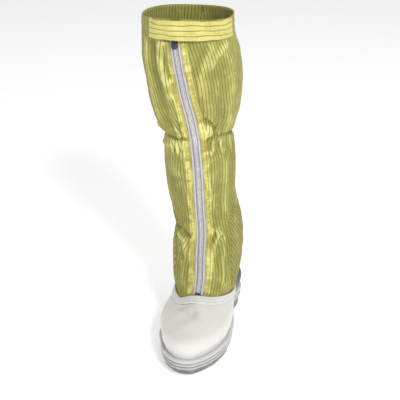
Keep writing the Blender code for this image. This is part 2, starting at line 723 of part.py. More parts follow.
def make_tab():
    """The eye as a ring round the pin, its wall carried on into the flat tab."""
    count = 16
    half = 1.5 * MM
    points, faces = [], []
    side_x, up, out = slider_axes
    lean = math.radians(-5.0)
    up_l = up * math.cos(lean) + out * math.sin(lean)
    out_l = out * math.cos(lean) - up * math.sin(lean)
    for x in (-half, half):
        for radius in (EYE_OUT, EYE_HOLE):
            for k in range(count):
                a = 2 * math.pi * k / count
                points.append(side_x * x + up_l * radius * math.cos(a) + out_l * radius * math.sin(a))

    def index(side, ring, k):
        return side * 2 * count + ring * count + k % count

    for k in range(count):
        faces.append((index(0, 0, k), index(0, 0, k + 1), index(1, 0, k + 1), index(1, 0, k)))
        faces.append((index(1, 1, k), index(1, 1, k + 1), index(0, 1, k + 1), index(0, 1, k)))
        faces.append((index(0, 1, k), index(0, 1, k + 1), index(0, 0, k + 1), index(0, 0, k)))
        faces.append((index(1, 0, k), index(1, 0, k + 1), index(1, 1, k + 1), index(1, 1, k)))
    tab = new_object("zip_pull_tab", points, faces, dark_metal)
    tab.location = tuple(pin_place)
    middle = up_l * (EYE_HOLE + 0.25 * MM + TAB_LENGTH / 2)
    blade = block("tab_blade", (6.0 * MM, TAB_LENGTH, TAB_THICK), middle,
                  np.array([side_x, up_l, out_l]), dark_metal, 0.35 * MM, cutters)
    blade.location = tuple(pin_place)
    blade.hide_render = True
    blade.display_type = "WIRE"
    join = tab.modifiers.new("blade", "BOOLEAN")
    join.operation = "UNION"
    join.solver = "EXACT"
    join.object = blade
    return tab


tab = make_tab()

# Strap: across the front of the collar, over the zip, standing off the cloth in its middle
STRAP_LATERAL = 0.64
STRAP_MEDIAL = 1.42
strap_near = [near(3.4 * MM), near(8.0 * MM), near(12.5 * MM)]
lateral_part = strap_near + [float(a) for a in free if a < STRAP_LATERAL - 0.05] + [STRAP_LATERAL]
medial_part = strap_near + [float(a) for a in free if a < STRAP_MEDIAL - 0.05] + [STRAP_MEDIAL]
strap_columns = np.array([-a for a in reversed(lateral_part)] + [0.0] + medial_part)
strap_reach = np.where(strap_columns < 0, STRAP_LATERAL, STRAP_MEDIAL)
share = np.clip((strap_reach - np.abs(strap_columns)) / (strap_reach - 0.3), 0, 1)
stand_off = GAP + STRAP_STAND_OFF * share * share * (3 - 2 * share)
strap_rows = [STRAP_LOW_ROW, 15.5, TOP_ROW]
strap_out = shaft_grid(strap_columns, strap_rows, stand_off + STRAP_THICK)
strap = overlay("collar_strap", strap_out, shaft_grid(strap_columns, strap_rows, stand_off), strap_yellow)
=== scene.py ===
# %% [markdown]
# # A knee-high cleanroom boot
#
# The real boot is a white moulded sole, a white shoe body with a black heel counter, and a tall
# shaft of yellow antistatic cloth that closes with a zip under a strap. This lesson dresses the
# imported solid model. The model is loaded first and stays fixed, and each soft piece is drawn again
# with many more points, on the same form, so that cloth can fold and leather can be dented.

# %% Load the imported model
import math

import bpy
import numpy as np
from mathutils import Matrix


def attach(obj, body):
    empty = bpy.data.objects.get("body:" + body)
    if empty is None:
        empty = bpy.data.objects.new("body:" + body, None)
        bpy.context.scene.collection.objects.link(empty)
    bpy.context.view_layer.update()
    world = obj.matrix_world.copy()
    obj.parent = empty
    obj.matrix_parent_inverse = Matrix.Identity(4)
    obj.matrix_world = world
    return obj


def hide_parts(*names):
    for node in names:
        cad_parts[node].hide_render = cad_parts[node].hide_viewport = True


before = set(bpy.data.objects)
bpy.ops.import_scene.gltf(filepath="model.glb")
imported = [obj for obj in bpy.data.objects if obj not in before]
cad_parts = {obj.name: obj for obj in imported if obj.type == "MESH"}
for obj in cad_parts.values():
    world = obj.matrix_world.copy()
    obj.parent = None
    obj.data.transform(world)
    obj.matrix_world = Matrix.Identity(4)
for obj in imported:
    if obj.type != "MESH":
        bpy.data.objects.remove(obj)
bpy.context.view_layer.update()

# %% [markdown]
# ## The form
#
# A boot can be sculpted by hand or lofted through rings. The solid model was lofted, from short
# tables of shares of a few named sizes, so the same tables are set out here. Any piece can then
# ask for a point at any angle and any height, with no fitting afterwards.

# %% Named sizes, in metres
MM = 0.001
SOLE_LENGTH = 276 * MM
BALL_WIDTH = 108 * MM
THROAT_RISE = 78 * MM
BOOT_HEIGHT = 487 * MM
CALF_WIDTH = 140 * MM
HEEL_BACK = 40 * MM
BED_HEIGHT = 30 * MM
RIM_RISE = 5.6 * MM
WALL_INSET = 5.3 * MM
UPPER_WALL = 1.8 * MM
FABRIC_WALL = 1.2 * MM
GAP = 0.3 * MM
OVERLAY = 1.2 * MM
FACING_EDGE = 17.5 * MM
STRAP_THICK = 2.0 * MM
STRAP_STAND_OFF = 7.0 * MM
TREAD_DEPTH = 3.5 * MM
MOUTH_RISE = 3.0 * MM
PUFF_RISE = 9 * MM
PUFF_OUT = 1.6 * MM
STRAP_WIDTH = 27.0 * MM
COIL_PITCH = 1.35 * MM

# Rows are counted up the rings of the leather and of the cloth. Within NEAR of the zip, in radians
# of its own angle, columns are in step with millimetres along the cloth, up to FACING_EDGE.
LEATHER_TOP_ROW = 7.0
BINDING_LOW_ROW = 6.0
COUNTER_TOP_ROW = 5.86
TUCK_ROW = 6.35
WAIST_ROW = 10.0
STRAP_LOW_ROW = 15.0
TOP_ROW = 16.0
NEAR = 0.3

# The picture's topline beside the solid's: in at the inner heel and arch, down at the outer end of
# the throat, up around the heel
HEEL_DRAW = 4.5 * MM
ARCH_DRAW = 6.0 * MM
THROAT_DIP = 7.0 * MM
HEEL_RISE = 9.0 * MM
print("boot", BOOT_HEIGHT / MM, "mm tall on a sole", SOLE_LENGTH / MM, "mm long")

# %% Tables of the sole and the white upper
# along, lateral, medial: half widths of the foot, as shares of an ellipse's
FOOT = np.array([
    (0.00, 1.22, 1.22), (0.10, 1.01, 1.00), (0.25, 0.77, 0.675), (0.40, 0.83, 0.755),
    (0.50, 0.96, 0.88), (0.60, 1.08, 0.965), (0.70, 1.08, 1.03), (0.80, 1.02, 1.02),
    (0.90, 1.05, 0.98), (0.95, 1.02, 0.97), (1.00, 1.15, 1.15)])
BED = np.array([(0.0, 1.0), (0.25, 0.93), (0.5, 0.77), (0.7, 0.683), (0.85, 0.717), (1.0, 0.867)])
TREAD = np.array([(0.0, 0.083), (0.06, 0.0), (0.30, 0.0), (0.38, 0.067), (0.45, 0.067),
                  (0.55, 0.0), (0.78, 0.0), (0.90, 0.083), (1.0, 0.233)])
# front, back, rise front, side, back, half width, centre, full, foot, swell
UPPER = np.array([
    (-0.835, 0.126, 0.000, 0.000, 0.000, 0.463, 0.000, 0.00, 1.00, 0.000),
    (-0.837, 0.129, 0.103, 0.103, 0.128, 0.454, 0.000, 0.00, 1.00, 0.000),
    (-0.832, 0.134, 0.215, 0.195, 0.240, 0.444, 0.000, 0.00, 1.00, 0.028),
    (-0.812, 0.136, 0.325, 0.280, 0.340, 0.430, 0.000, 0.16, 0.93, 0.036),
    (-0.760, 0.135, 0.420, 0.355, 0.430, 0.408, -0.005, 0.32, 0.72, 0.034),
    (-0.655, 0.131, 0.540, 0.418, 0.515, 0.378, -0.012, 0.42, 0.40, 0.022),
    (-0.517, 0.123, 0.705, 0.475, 0.600, 0.358, -0.026, 0.40, 0.08, 0.006),
    (-0.486, 0.118, 0.744, 0.575, 0.705, 0.350, -0.030, 0.40, 0.00, 0.000)])
# inset, drop, foot: the sole's side, from the inside of its rim down to the tread
SIDE = np.array([
    (0.893, 0.107, 0.0), (0.600, 0.000, 0.0), (0.160, 0.120, 0.0), (0.000, 0.500, 0.0),
    (0.089, 0.950, 0.0), (0.429, 1.179, 0.0), (0.429, 1.375, 0.0), (0.161, 1.536, 0.0),
    (0.161, 1.839, 0.0), (0.536, 2.000, 0.0), (0.536, 2.214, 0.0), (0.286, 2.375, 0.0),
    (0.304, 2.714, 0.0), (0.571, 2.875, 0.0), (1.000, 2.875, 0.85), (1.357, 2.875, 1.0)])

# %% Table of the shaft
# height front, side, back, front, back, half width, centre, full, tilt, zip in degrees
SHAFT = np.array([
    (0.214, 0.201, 0.205, -0.406, 0.145, 0.316, -0.054, 0.25, 0.000, 6.6),
    (0.267, 0.263, 0.258, -0.355, 0.145, 0.351, -0.068, 0.10, 0.000, 5.5),
    (0.325, 0.325, 0.321, -0.324, 0.118, 0.350, -0.066, 0.00, 0.000, 5.0),
    (0.378, 0.378, 0.378, -0.317, 0.097, 0.350, -0.100, 0.00, 0.000, 8.5),
    (0.435, 0.435, 0.435, -0.324, 0.100, 0.353, -0.138, 0.00, 0.000, 13.0),
    (0.501, 0.501, 0.501, -0.336, 0.117, 0.367, -0.152, 0.00, 0.000, 14.3),
    (0.558, 0.558, 0.558, -0.343, 0.124, 0.367, -0.158, 0.00, 0.000, 14.0),
    (0.610, 0.610, 0.610, -0.339, 0.117, 0.344, -0.172, 0.00, 0.000, 14.0),
    (0.651, 0.651, 0.651, -0.363, 0.133, 0.394, -0.180, 0.00, 0.000, 13.0),
    (0.711, 0.711, 0.711, -0.393, 0.147, 0.460, -0.191, 0.00, 0.000, 10.0),
    (0.797, 0.797, 0.797, -0.416, 0.150, 0.493, -0.203, 0.00, 0.000, 4.0),
    (0.875, 0.872, 0.870, -0.417, 0.137, 0.474, -0.225, 0.10, 0.001, 0.5),
    (0.942, 0.928, 0.918, -0.408, 0.120, 0.424, -0.246, 0.20, 0.002, -0.7),
    (1.000, 0.984, 0.970, -0.400, 0.107, 0.415, -0.248, 0.20, 0.002, -0.9)])
ZIP_DEGREES = np.array([3.4] * 3 + list(SHAFT[:, 9]))
print(len(UPPER), "rings of leather and", len(SHAFT), "rings of cloth")


# %% A curve through a table
def smooth(xs, ys, x):
    """Cubic through a table's points that never swings past them. ys may hold columns."""
    xs = np.asarray(xs, float)
    ys = np.asarray(ys, float)
    if ys.ndim == 1:
        return smooth(xs, ys[:, None], x)[..., 0]
    x = np.atleast_1d(np.asarray(x, float))
    step = np.diff(xs)[:, None]
    slope = np.diff(ys, axis=0) / step
    lean = np.zeros_like(ys)
    lean[0], lean[-1] = slope[0], slope[-1]
    first, second = slope[:-1], slope[1:]
    a, b = 2 * step[1:] + step[:-1], step[1:] + 2 * step[:-1]
    same = first * second > 0
    mean = (a + b) / (a / np.where(same, first, 1.0) + b / np.where(same, second, 1.0))
    lean[1:-1] = np.where(same, mean, 0.0)
    i = np.clip(np.searchsorted(xs, x, side="right") - 1, 0, len(xs) - 2)
    h = step[i]
    t = ((x - xs[i]) / np.diff(xs)[i])[:, None]
    return (ys[i] * (2 * t**3 - 3 * t**2 + 1) + lean[i] * h * (t**3 - 2 * t**2 + t)
            + ys[i + 1] * (3 * t**2 - 2 * t**3) + lean[i + 1] * h * (t**3 - t**2))


def ramp(x, low, high):
    """0 below low, 1 above high, smooth between; low may be the larger."""
    t = np.clip((x - low) / (high - low), 0, 1)
    return t * t * (3 - 2 * t)


def bell(x, centre, width):
    """1 at centre, falling off on both sides."""
    return np.exp(-((x - centre) / width)**2)


def unit(v):
    return v / np.linalg.norm(v, axis=-1, keepdims=True)


# %% The foot's outline, the footbed and the tread
def foot_plain(t):
    along = (1 + np.cos(t)) / 2
    shares = smooth(FOOT[:, 0], FOOT[:, 1:], along.ravel())
    share = np.where(np.sin(t).ravel() < 0, shares[:, 0], shares[:, 1]).reshape(t.shape)
    x = np.sin(t) * share * BALL_WIDTH / 2 + 0.022 * SOLE_LENGTH * along**6
    return x, HEEL_BACK - SOLE_LENGTH * along


def foot_outline(t, inset=0.0):
    """Outline of the foot at angle t, drawn in by inset along its own normal."""
    t = np.asarray(t, float)
    x, y = foot_plain(t)
    ahead, behind = foot_plain(t + 0.02), foot_plain(t - 0.02)
    dx, dy = ahead[0] - behind[0], ahead[1] - behind[1]
    size = np.hypot(dx, dy)
    return x - inset * dy / size, y + inset * dx / size


def height_on(table, y):
    along = np.clip((HEEL_BACK - np.asarray(y, float)) / SOLE_LENGTH, 0, 1)
    return BED_HEIGHT * smooth(table[:, 0], table[:, 1], along.ravel()).reshape(along.shape)


# %% The upper's surface: t goes around from the front, v up from the footbed
def upper_ring(row, t):
    front, back, rise_f, rise_s, rise_b, half, centre, full, foot, swell = row
    c, s = np.cos(t), np.sin(t)
    out = WALL_INSET - swell * BALL_WIDTH * (1 - 0.6 * np.maximum(c, 0)**4)
    foot_x, foot_y = foot_outline(t, out)
    own_x = BALL_WIDTH * (s * half * (1 + full * (1 + c) / 2) + centre)
    y = foot * foot_y + (1 - foot) * SOLE_LENGTH * (back + (front - back) * (1 + c) / 2)
    rise = rise_s + (rise_f - rise_s) * np.maximum(c, 0)**2
    rise = rise + (rise_b - rise_s) * np.maximum(-c, 0)**2
    base = foot * height_on(BED, y) + (1 - foot) * 0.7 * BED_HEIGHT
    heel_draw = HEEL_DRAW * np.maximum(s, 0) * ramp(c, 0.25, -0.45)
    arch_draw = ARCH_DRAW * np.maximum(s, 0) * bell(c, -0.2, 0.4)
    x = foot * foot_x + (1 - foot) * (own_x - heel_draw - arch_draw)
    turn = np.mod(t + math.pi, 2 * math.pi) - math.pi
    dip = THROAT_DIP * bell(turn, -0.52, 0.27)
    dip = dip - 0.25 * THROAT_DIP * bell(turn, 0.1, 0.2)
    dip = dip - HEEL_RISE * ramp(c, 0.1, -0.8)
    z = base + THROAT_RISE * rise + GAP * foot - dip * (1 - foot)**3
    return np.stack([x, y, z], axis=-1)


def upper_point(t, v):
    t, v = np.broadcast_arrays(np.asarray(t, float), np.asarray(v, float))
    rows = smooth(range(len(UPPER)), UPPER, v.ravel())
    flat = upper_ring([rows[:, k] for k in range(rows.shape[1])], t.ravel())
    return flat.reshape(t.shape + (3,))


def upper_normal(t, v):
    e = 1e-3
    along = upper_point(t + e, v) - upper_point(t - e, v)
    up = upper_point(t, np.minimum(v + e, LEATHER_TOP_ROW)) - upper_point(t, np.maximum(v - e, 0.0))
    return unit(np.cross(along, up))


def upper_out(t, v, out=0.0):
    t, v = np.broadcast_arrays(np.asarray(t, float), np.asarray(v, float))
    return upper_point(t, v) + upper_normal(t, v) * np.broadcast_to(out, t.shape)[..., None]


def upper_lift(t):
    return unit(upper_point(t, LEATHER_TOP_ROW) - upper_point(t, LEATHER_TOP_ROW - 0.2))


# %% The shaft's surface: a goes around from the zip, v up through its rings
def shaft_ring(row, t):
    high_f, high_s, high_b, front, back, half, centre, full, tilt = row[:9]
    c, s = np.cos(t), np.sin(t)
    y = SOLE_LENGTH * (back + (front - back) * (1 + c) / 2)
    x = CALF_WIDTH * (s * half * (1 + full * (1 + c) / 2) + centre)
    high = high_s + (high_f - high_s) * np.maximum(c, 0)**2
    high = high + (high_b - high_s) * np.maximum(-c, 0)**2
    return np.stack([x, y, BOOT_HEIGHT * (high + tilt * s)], axis=-1)


def low_rings(t):
    """The cloth's three rings that hang on the topline: tuck, mouth and puff."""
    inside = -(UPPER_WALL + GAP)
    lift = upper_lift(t)
    tuck = upper_out(t, TUCK_ROW, inside)
    mouth = upper_out(t, LEATHER_TOP_ROW, inside) + lift * MOUTH_RISE
    puff = upper_out(t, LEATHER_TOP_ROW, PUFF_OUT * np.sin(t)**2) + lift * PUFF_RISE
    return np.stack([tuck, mouth, puff])


TURN = np.linspace(0, 2 * math.pi, 1441)
LOW_RINGS = low_rings(TURN)


def shaft_rings(t):
    """All the rings at angles t; the low ones are read from a table, because they cost most."""
    turned = np.mod(t, 2 * math.pi)
    low = [np.stack([np.interp(turned, TURN, ring[:, k]) for k in range(3)], axis=-1)
           for ring in LOW_RINGS]
    return np.stack(low + [shaft_ring(row, t) for row in SHAFT])


def shaft_row(t, v):
    """A whole row of the shaft at once: many angles, one height."""
    rings = shaft_rings(t)
    return smooth(range(len(rings)), rings.reshape(len(rings), -1), v)[0].reshape(-1, 3)


def around(a, v):
    """Angle for a column: a within NEAR of the zip is in step with millimetres along the cloth."""
    centre = np.radians(smooth(range(len(ZIP_DEGREES)), ZIP_DEGREES, v))[0]
    ends = shaft_row(np.array([centre - 1e-3, centre + 1e-3]), v)
    close = FACING_EDGE / (np.linalg.norm(ends[1] - ends[0]) / 2e-3)
    size = np.abs(a)
    far = close + (size - NEAR) / (math.pi - NEAR) * (math.pi - close)
    return centre + np.sign(a) * np.where(size <= NEAR, size / NEAR * close, far)


def cloth_base(angles, rows):
    return np.stack([shaft_row(around(angles, v), v) for v in rows])


def near(distance):
    return distance / FACING_EDGE * NEAR


# %% [markdown]
# ## A map of the cloth
#
# Folds, stripes and stitches are easiest to place in the cloth's own measure: so many millimetres
# from the zip, and so many above the floor. One coarse grid gives that measure everywhere. It could
# be a UV map too, but a table that can be asked at any point also serves pieces that are drawn
# separately, such as the zip and the strap.

# %% Measure the cloth
far_angles = np.linspace(NEAR, math.pi, 90)
MAP_ANGLES = np.concatenate([-far_angles[::-1], np.linspace(-NEAR, NEAR, 41)[1:-1], far_angles])
MAP_ROWS = np.linspace(0, TOP_ROW, 129)
map_points = cloth_base(MAP_ANGLES, MAP_ROWS)
strides = np.linalg.norm(np.diff(map_points, axis=1), axis=-1)
reach = np.concatenate([np.zeros((len(MAP_ROWS), 1)), np.cumsum(strides, axis=1)], axis=1)
middle = int(np.argmin(np.abs(MAP_ANGLES)))
MAP_ARC = (reach - reach[:, middle:middle + 1]) / MM
MAP_HEIGHT = map_points[..., 2] / MM
waist = int(round(WAIST_ROW / TOP_ROW * (len(MAP_ROWS) - 1)))
print("girth at the waist", round(float(np.ptp(MAP_ARC[waist]))), "mm")


def table_at(table, a, v):
    """Straight-line reading of a map table at angles a and rows v."""
    col = np.interp(a, MAP_ANGLES, np.arange(len(MAP_ANGLES)))
    row = np.asarray(v, float) / TOP_ROW * (len(MAP_ROWS) - 1)
    j = np.clip(col.astype(int), 0, len(MAP_ANGLES) - 2)
    i = np.clip(row.astype(int), 0, len(MAP_ROWS) - 2)
    p, q = col - j, row - i
    low = table[i, j] * (1 - p) + table[i, j + 1] * p
    high = table[i + 1, j] * (1 - p) + table[i + 1, j + 1] * p
    return low * (1 - q) + high * q


def cloth_map(a, v):
    """Millimetres from the zip, above the floor, and from the back line."""
    arc = table_at(MAP_ARC, a, v)
    end = np.where(a > 0, table_at(MAP_ARC, np.full_like(a, math.pi), v),
                   table_at(MAP_ARC, np.full_like(a, -math.pi), v))
    return arc, table_at(MAP_HEIGHT, a, v), arc - end


# %% [markdown]
# ## Folds
#
# Cloth simulation would give folds of its own, not the ones in the picture. Here each crease is
# placed on the cloth's map, as a soft trough or ridge along a short path. The sum of them
# moves every piece that belongs to the shaft, so the zip and its facings stay on the cloth.

# %% Creases of the front, seen in the picture
# half width in mm, height in mm (minus is a trough), then the path: mm from the zip, mm above the floor
CREASES = [
    # calf, under the strap
    (6, 4.2, [(-23, 454), (-26, 434), (-26, 407), (-21, 380)]),
    (3.5, -3.0, [(-15, 448), (-17, 426), (-15, 405), (-11, 374)]),
    (7, -2.4, [(-36, 449), (-39, 423), (-41, 385), (-40, 339)]),
    (7, 1.6, [(-50, 448), (-57, 414), (-61, 369), (-53, 330)]),
    (6, 2.0, [(78, 447), (60, 434), (48, 421)]),
    (5, 1.6, [(52, 449), (41, 430), (28, 405), (23, 382)]),
    (4, -1.2, [(44, 448), (32, 432), (19, 410)]),
    (7, -1.4, [(62, 427), (47, 400), (36, 371)]),
    (5, -1.2, [(21, 393), (19, 366), (18, 339)]),
    (8, 1.0, [(37, 395), (31, 363), (28, 332)]),
    (8, -1.4, [(63, 398), (51, 360), (39, 324)]),
    (9, 1.0, [(85, 423), (78, 377), (58, 333)]),
    # waist, where the top half sinks onto the shin
    (2.6, -3.2, [(-84, 302), (-53, 308), (-30, 309), (-12, 310)]),
    (5, 2.4, [(-70, 290), (-51, 292), (-27, 299), (-14, 299)]),
    (2.6, -3.2, [(6, 309), (16, 305), (28, 310), (46, 309), (70, 304), (92, 300)]),
    (8, 5.4, [(14, 323), (20, 323)]),
    (2.4, -4.0, [(9, 337), (15, 341), (23, 340), (29, 333), (32, 322), (30, 313)]),
    (2.5, 1.4, [(-36, 303), (-38, 286)]),
    (2.5, 1.4, [(-26, 306), (-28, 287)]),
    (2.0, -1.2, [(-31, 305), (-32, 289)]),
    (2.0, -1.4, [(-20, 308), (-23, 289)]),
    (2.6, 2.0, [(27, 305), (28, 292), (22, 283)]),
    (3.2, -2.2, [(18, 301), (19, 291)]),
    (3, 1.4, [(41, 304), (45, 284)]),
    (2.6, -1.4, [(35, 304), (35, 284)]),
    (4, 1.4, [(68, 297), (69, 278)]),
    (3, -1.4, [(56, 301), (56, 281)]),
    (3, -1.6, [(-34, 335), (-30, 312)]),
    (2.6, -1.4, [(-20, 332), (-17, 314)]),
    (2.6, 1.2, [(-26, 333), (-22, 312)]),
    (3, -1.5, [(37, 339), (32, 314)]),
    (3.5, -1.5, [(52, 339), (44, 311)]),
    (3, 1.2, [(43, 337), (38, 314)]),
    # shin
    (3, 1.6, [(13, 287), (23, 289)]),
    (4, -1.0, [(14, 281), (21, 278)]),
    (6, -1.4, [(-33, 276), (-30, 268)]),
    (6, 1.2, [(-46, 254), (-30, 254)]),
    (6, 1.1, [(22, 250), (19, 225), (21, 202)]),
    (4, -1.0, [(15, 264), (10, 229), (11, 195)]),
    (5, -1.2, [(37, 268), (32, 225), (30, 185)]),
    (5, -1.2, [(-28, 243), (-33, 209), (-32, 180)]),
    (6, -1.1, [(-44, 252), (-44, 218), (-40, 186)]),
    (6, 1.0, [(50, 268), (47, 229), (39, 191)]),
    (6, -1.0, [(68, 278), (65, 239), (59, 203)]),
    # ankle
    (2.3, -3.2, [(-78, 166), (-55, 160), (-33, 159), (-18, 154)]),
    (4, 2.4, [(-44, 150), (-29, 146), (-24, 130)]),
    (3, -1.4, [(-35, 135), (-30, 121)]),
    (3.4, 2.2, [(29, 160), (20, 148), (16, 127), (15, 108)]),
    (3, -2.6, [(20, 157), (15, 143)]),
    (1.8, 1.5, [(11, 173), (16, 160), (19, 152)]),
    (1.8, 1.5, [(14, 170), (22, 164), (30, 159)]),
    (2.2, -1.4, [(9, 157), (16, 150)]),
    (4, -1.2, [(29, 150), (27, 119), (31, 88)]),
    (3, 1.0, [(36, 150), (36, 117), (40, 85)]),
    (4, -1.2, [(-42, 112), (-47, 77)]),
    (3, 1.0, [(-31, 116), (-27, 86)]),
    (3, -1.4, [(42, 164), (43, 131), (44, 90)]),
]

# %% Creases of the back, out of sight in the picture
# the path is in mm from the back line, plus towards the outer side, and mm above the floor
BACK_CREASES = [
    (3.2, -3.0, [(-96, 300), (-60, 303), (-20, 299), (20, 301), (60, 304), (100, 301)]),
    (5, 2.0, [(-80, 288), (-40, 290), (0, 287), (40, 291), (80, 288)]),
    (3, -1.5, [(-62, 330), (-56, 308)]),
    (3, 1.3, [(-48, 334), (-44, 308)]),
    (3, -1.5, [(-30, 336), (-28, 306)]),
    (3, 1.3, [(-12, 330), (-13, 306)]),
    (3, -1.5, [(16, 334), (14, 306)]),
    (3, 1.3, [(34, 333), (31, 308)]),
    (3, -1.5, [(56, 336), (50, 308)]),
    (2.6, 1.4, [(-52, 298), (-54, 276)]),
    (2.6, -1.4, [(-36, 297), (-38, 272)]),
    (2.6, 1.4, [(-6, 296), (-5, 274)]),
    (2.6, -1.4, [(22, 298), (24, 270)]),
    (2.6, 1.4, [(46, 299), (48, 276)]),
    (8, 1.4, [(-40, 430), (-34, 390), (-20, 350)]),
    (8, -1.6, [(-14, 440), (-10, 400), (-4, 350)]),
    (8, 1.4, [(24, 436), (26, 396), (18, 352)]),
    (9, -1.6, [(60, 430), (52, 390), (40, 350)]),
    (3.4, -2.4, [(-58, 186), (-28, 178), (0, 180), (30, 176), (60, 184)]),
    (4.5, 1.8, [(-44, 172), (-14, 168), (16, 168), (44, 172)]),
    (3.0, -2.0, [(-40, 160), (-10, 156), (20, 157), (42, 162)]),
    (4.5, 1.3, [(-46, 200), (-10, 196), (30, 198), (52, 202)]),
    (5, -1.2, [(-38, 252), (-30, 222), (-34, 204)]),
    (5, 1.2, [(6, 256), (10, 226), (8, 206)]),
    (5, -1.2, [(40, 254), (36, 222), (40, 204)]),
]

# %% Seams: the heel panel's front edge on both sides, and the seam up the back
HEEL_SEAM = np.array([(85, 61), (112, 52), (144, 50), (158, 48), (172, 47), (188, 62), (196, 80)])
SEAM_TOP = 188.0
WAIST_HEIGHT, ANKLE_HEIGHT = 305, 160
FOLD_GAIN, CRUMPLE_GAIN, FINE_GAIN = 1.3, 0.65, 0.42
RNG = np.random.default_rng(11)


def random_waves(count, shortest, longest, upright):
    """Wave vectors for lengths in mm, and their shifts. upright below 1 stretches the waves up."""
    ways = unit(RNG.normal(size=(count, 3)) * np.array([1.0, 1.0, upright]))
    waves = ways * (2 * math.pi / RNG.uniform(shortest, longest, size=(count, 1)))
    return waves, RNG.uniform(0, 2 * math.pi, size=count)


BROAD = random_waves(34, 24, 70, 0.42)
FINE = random_waves(40, 8, 20, 0.8)


def along_paths(creases, s, z):
    """Sum of the creases at s, z: each is a soft trough or ridge along its path."""
    total = np.zeros_like(s)
    for width, depth, path in creases:
        near_sq = np.full(s.shape, 1e9)
        for (s0, z0), (s1, z1) in zip(path[:-1], path[1:]):
            ds, dz = s1 - s0, z1 - z0
            t = np.clip(((s - s0) * ds + (z - z0) * dz) / (ds * ds + dz * dz), 0, 1)
            near_sq = np.minimum(near_sq, (s - s0 - t * ds)**2 + (z - z0 - t * dz)**2)
        total += depth * np.exp(-near_sq / width**2)
    return total


def soft_noise(points, kind=BROAD):
    """A sum of waves in all directions, about -2 to 2."""
    waves, shifts = kind
    return np.sin(np.tensordot(points / MM, waves, axes=([-1], [1])) + shifts).sum(axis=-1) / 4.2


def seam_distance(s, z):
    """mm behind the heel panel's front edge; minus in front of it."""
    return np.abs(s) - np.interp(z, HEEL_SEAM[:, 0], HEEL_SEAM[:, 1])


def heel_panel(s, z, back):
    """Whether a point is on the heel panel, and how many mm it lies above the panel's arched top."""
    top = SEAM_TOP + 12 * ramp(np.abs(back), 110, 20)
    return (seam_distance(s, z) > 0) & (z < top), z - top


def cloth_offset(s, z, back, points):
    """How far the cloth stands off its plain form, in mm: the creases, then crumpling that is strongest
    at the waist and the ankle, then the seams. All of it fades out at the topline and the hem.
    """
    total = along_paths(CREASES, s, z) * ramp(np.abs(back), 20, 45)
    total = total + along_paths(BACK_CREASES, -back, z) * ramp(np.abs(s), 55, 75)
    crumple = 0.3 + bell(z, WAIST_HEIGHT, 30)
    crumple = crumple + 0.9 * bell(z, ANKLE_HEIGHT, 32)
    total = FOLD_GAIN * total + CRUMPLE_GAIN * crumple * soft_noise(points)
    patches = ramp(soft_noise(points * 0.8 + 0.05), -0.6, 1.0)
    total = total + FINE_GAIN * crumple * (0.3 + patches) * soft_noise(points, FINE)
    total = total * (0.25 + 0.75 * ramp(np.abs(s), 8, 20))
    edge = seam_distance(s, z)
    on_panel = ramp(z, 196, 184)
    total = total - 2.0 * bell(edge, 0, 1.8) * on_panel
    total = total + 0.9 * bell(edge, 5, 4.0) * on_panel
    over_top = heel_panel(s, z, back)[1]
    total = total - 1.2 * bell(over_top, 0, 1.8) * (edge > 0)
    total = total + 0.5 * bell(np.abs(back), 2.2, 1.2) - 0.6 * bell(back, 0, 0.9)
    return total * ramp(z, 70, 84) * (0.35 + 0.65 * ramp(z, BOOT_HEIGHT / MM - 4, 440))


print(len(CREASES) + len(BACK_CREASES), "creases placed")


# %% [markdown]
# ## Meshes from grids
#
# Nearly every piece of this boot is a sheet: rows up, columns around. A sheet with a wall is two
# grids joined along their edges. The inner grid is never seen closely, so it takes every second
# row and column, and a strip of triangles closes the edge between the two.

# %% Mesh helpers
def linked(name, data):
    """A new object with this data, linked to the scene."""
    obj = bpy.data.objects.new(name, data)
    bpy.context.scene.collection.objects.link(obj)
    return obj


def piece(name, points, faces, material, body="boot", **layers):
    mesh = bpy.data.meshes.new(name)
    mesh.from_pydata(np.asarray(points, float).tolist(), [], faces)
    for key, values in layers.items():
        values = np.asarray(values, np.float32)
        kind = "FLOAT" if values.ndim == 1 else "FLOAT_VECTOR"
        layer = mesh.attributes.new(key, kind, "POINT")
        layer.data.foreach_set("value" if values.ndim == 1 else "vector", values.ravel())
    mesh.polygons.foreach_set("use_smooth", [True] * len(mesh.polygons))
    mesh.materials.append(material)
    mesh.update()
    obj = linked(name, mesh)
    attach(obj, body)
    return obj


def grid_faces(rows, cols, closed=False, start=0, flip=False):
    i, j = np.meshgrid(np.arange(rows - 1), np.arange(cols if closed else cols - 1), indexing="ij")
    k = (j + 1) % cols
    quads = np.stack([i * cols + j, i * cols + k, (i + 1) * cols + k, (i + 1) * cols + j], axis=-1)
    quads = quads.reshape(-1, 4) + start
    return (quads[:, ::-1] if flip else quads).tolist()


def edge_strip(outer, inner, flip=False):
    """Triangles between an edge and another with half as many steps."""
    faces = []
    for k in range(len(inner) - 1):
        a, b, c = outer[2 * k], outer[2 * k + 1], outer[2 * k + 2]
        faces += [(a, inner[k], b), (b, inner[k], inner[k + 1]), (b, inner[k + 1], c)]
    return [f[::-1] for f in faces] if flip else faces


def walled(outer, inner, closed=False):
    """Points and faces of a sheet with a wall; inner has every second row and column of outer."""
    rows, cols = outer.shape[:2]
    r, c = inner.shape[:2]
    start = rows * cols
    faces = grid_faces(rows, cols, closed) + grid_faces(r, c, closed, start, True)

    def out_row(i):
        return [i * cols + j for j in range(cols)] + ([i * cols] if closed else [])

    def in_row(i):
        return [start + i * c + j for j in range(c)] + ([start + i * c] if closed else [])

    faces += edge_strip(out_row(0), in_row(0))
    faces += edge_strip(out_row(rows - 1), in_row(r - 1), True)
    if not closed:
        faces += edge_strip([i * cols for i in range(rows)], [start + i * c for i in range(r)], True)
        faces += edge_strip([i * cols + cols - 1 for i in range(rows)],
                            [start + i * c + c - 1 for i in range(r)])
    return np.concatenate([outer.reshape(-1, 3), inner.reshape(-1, 3)]), faces


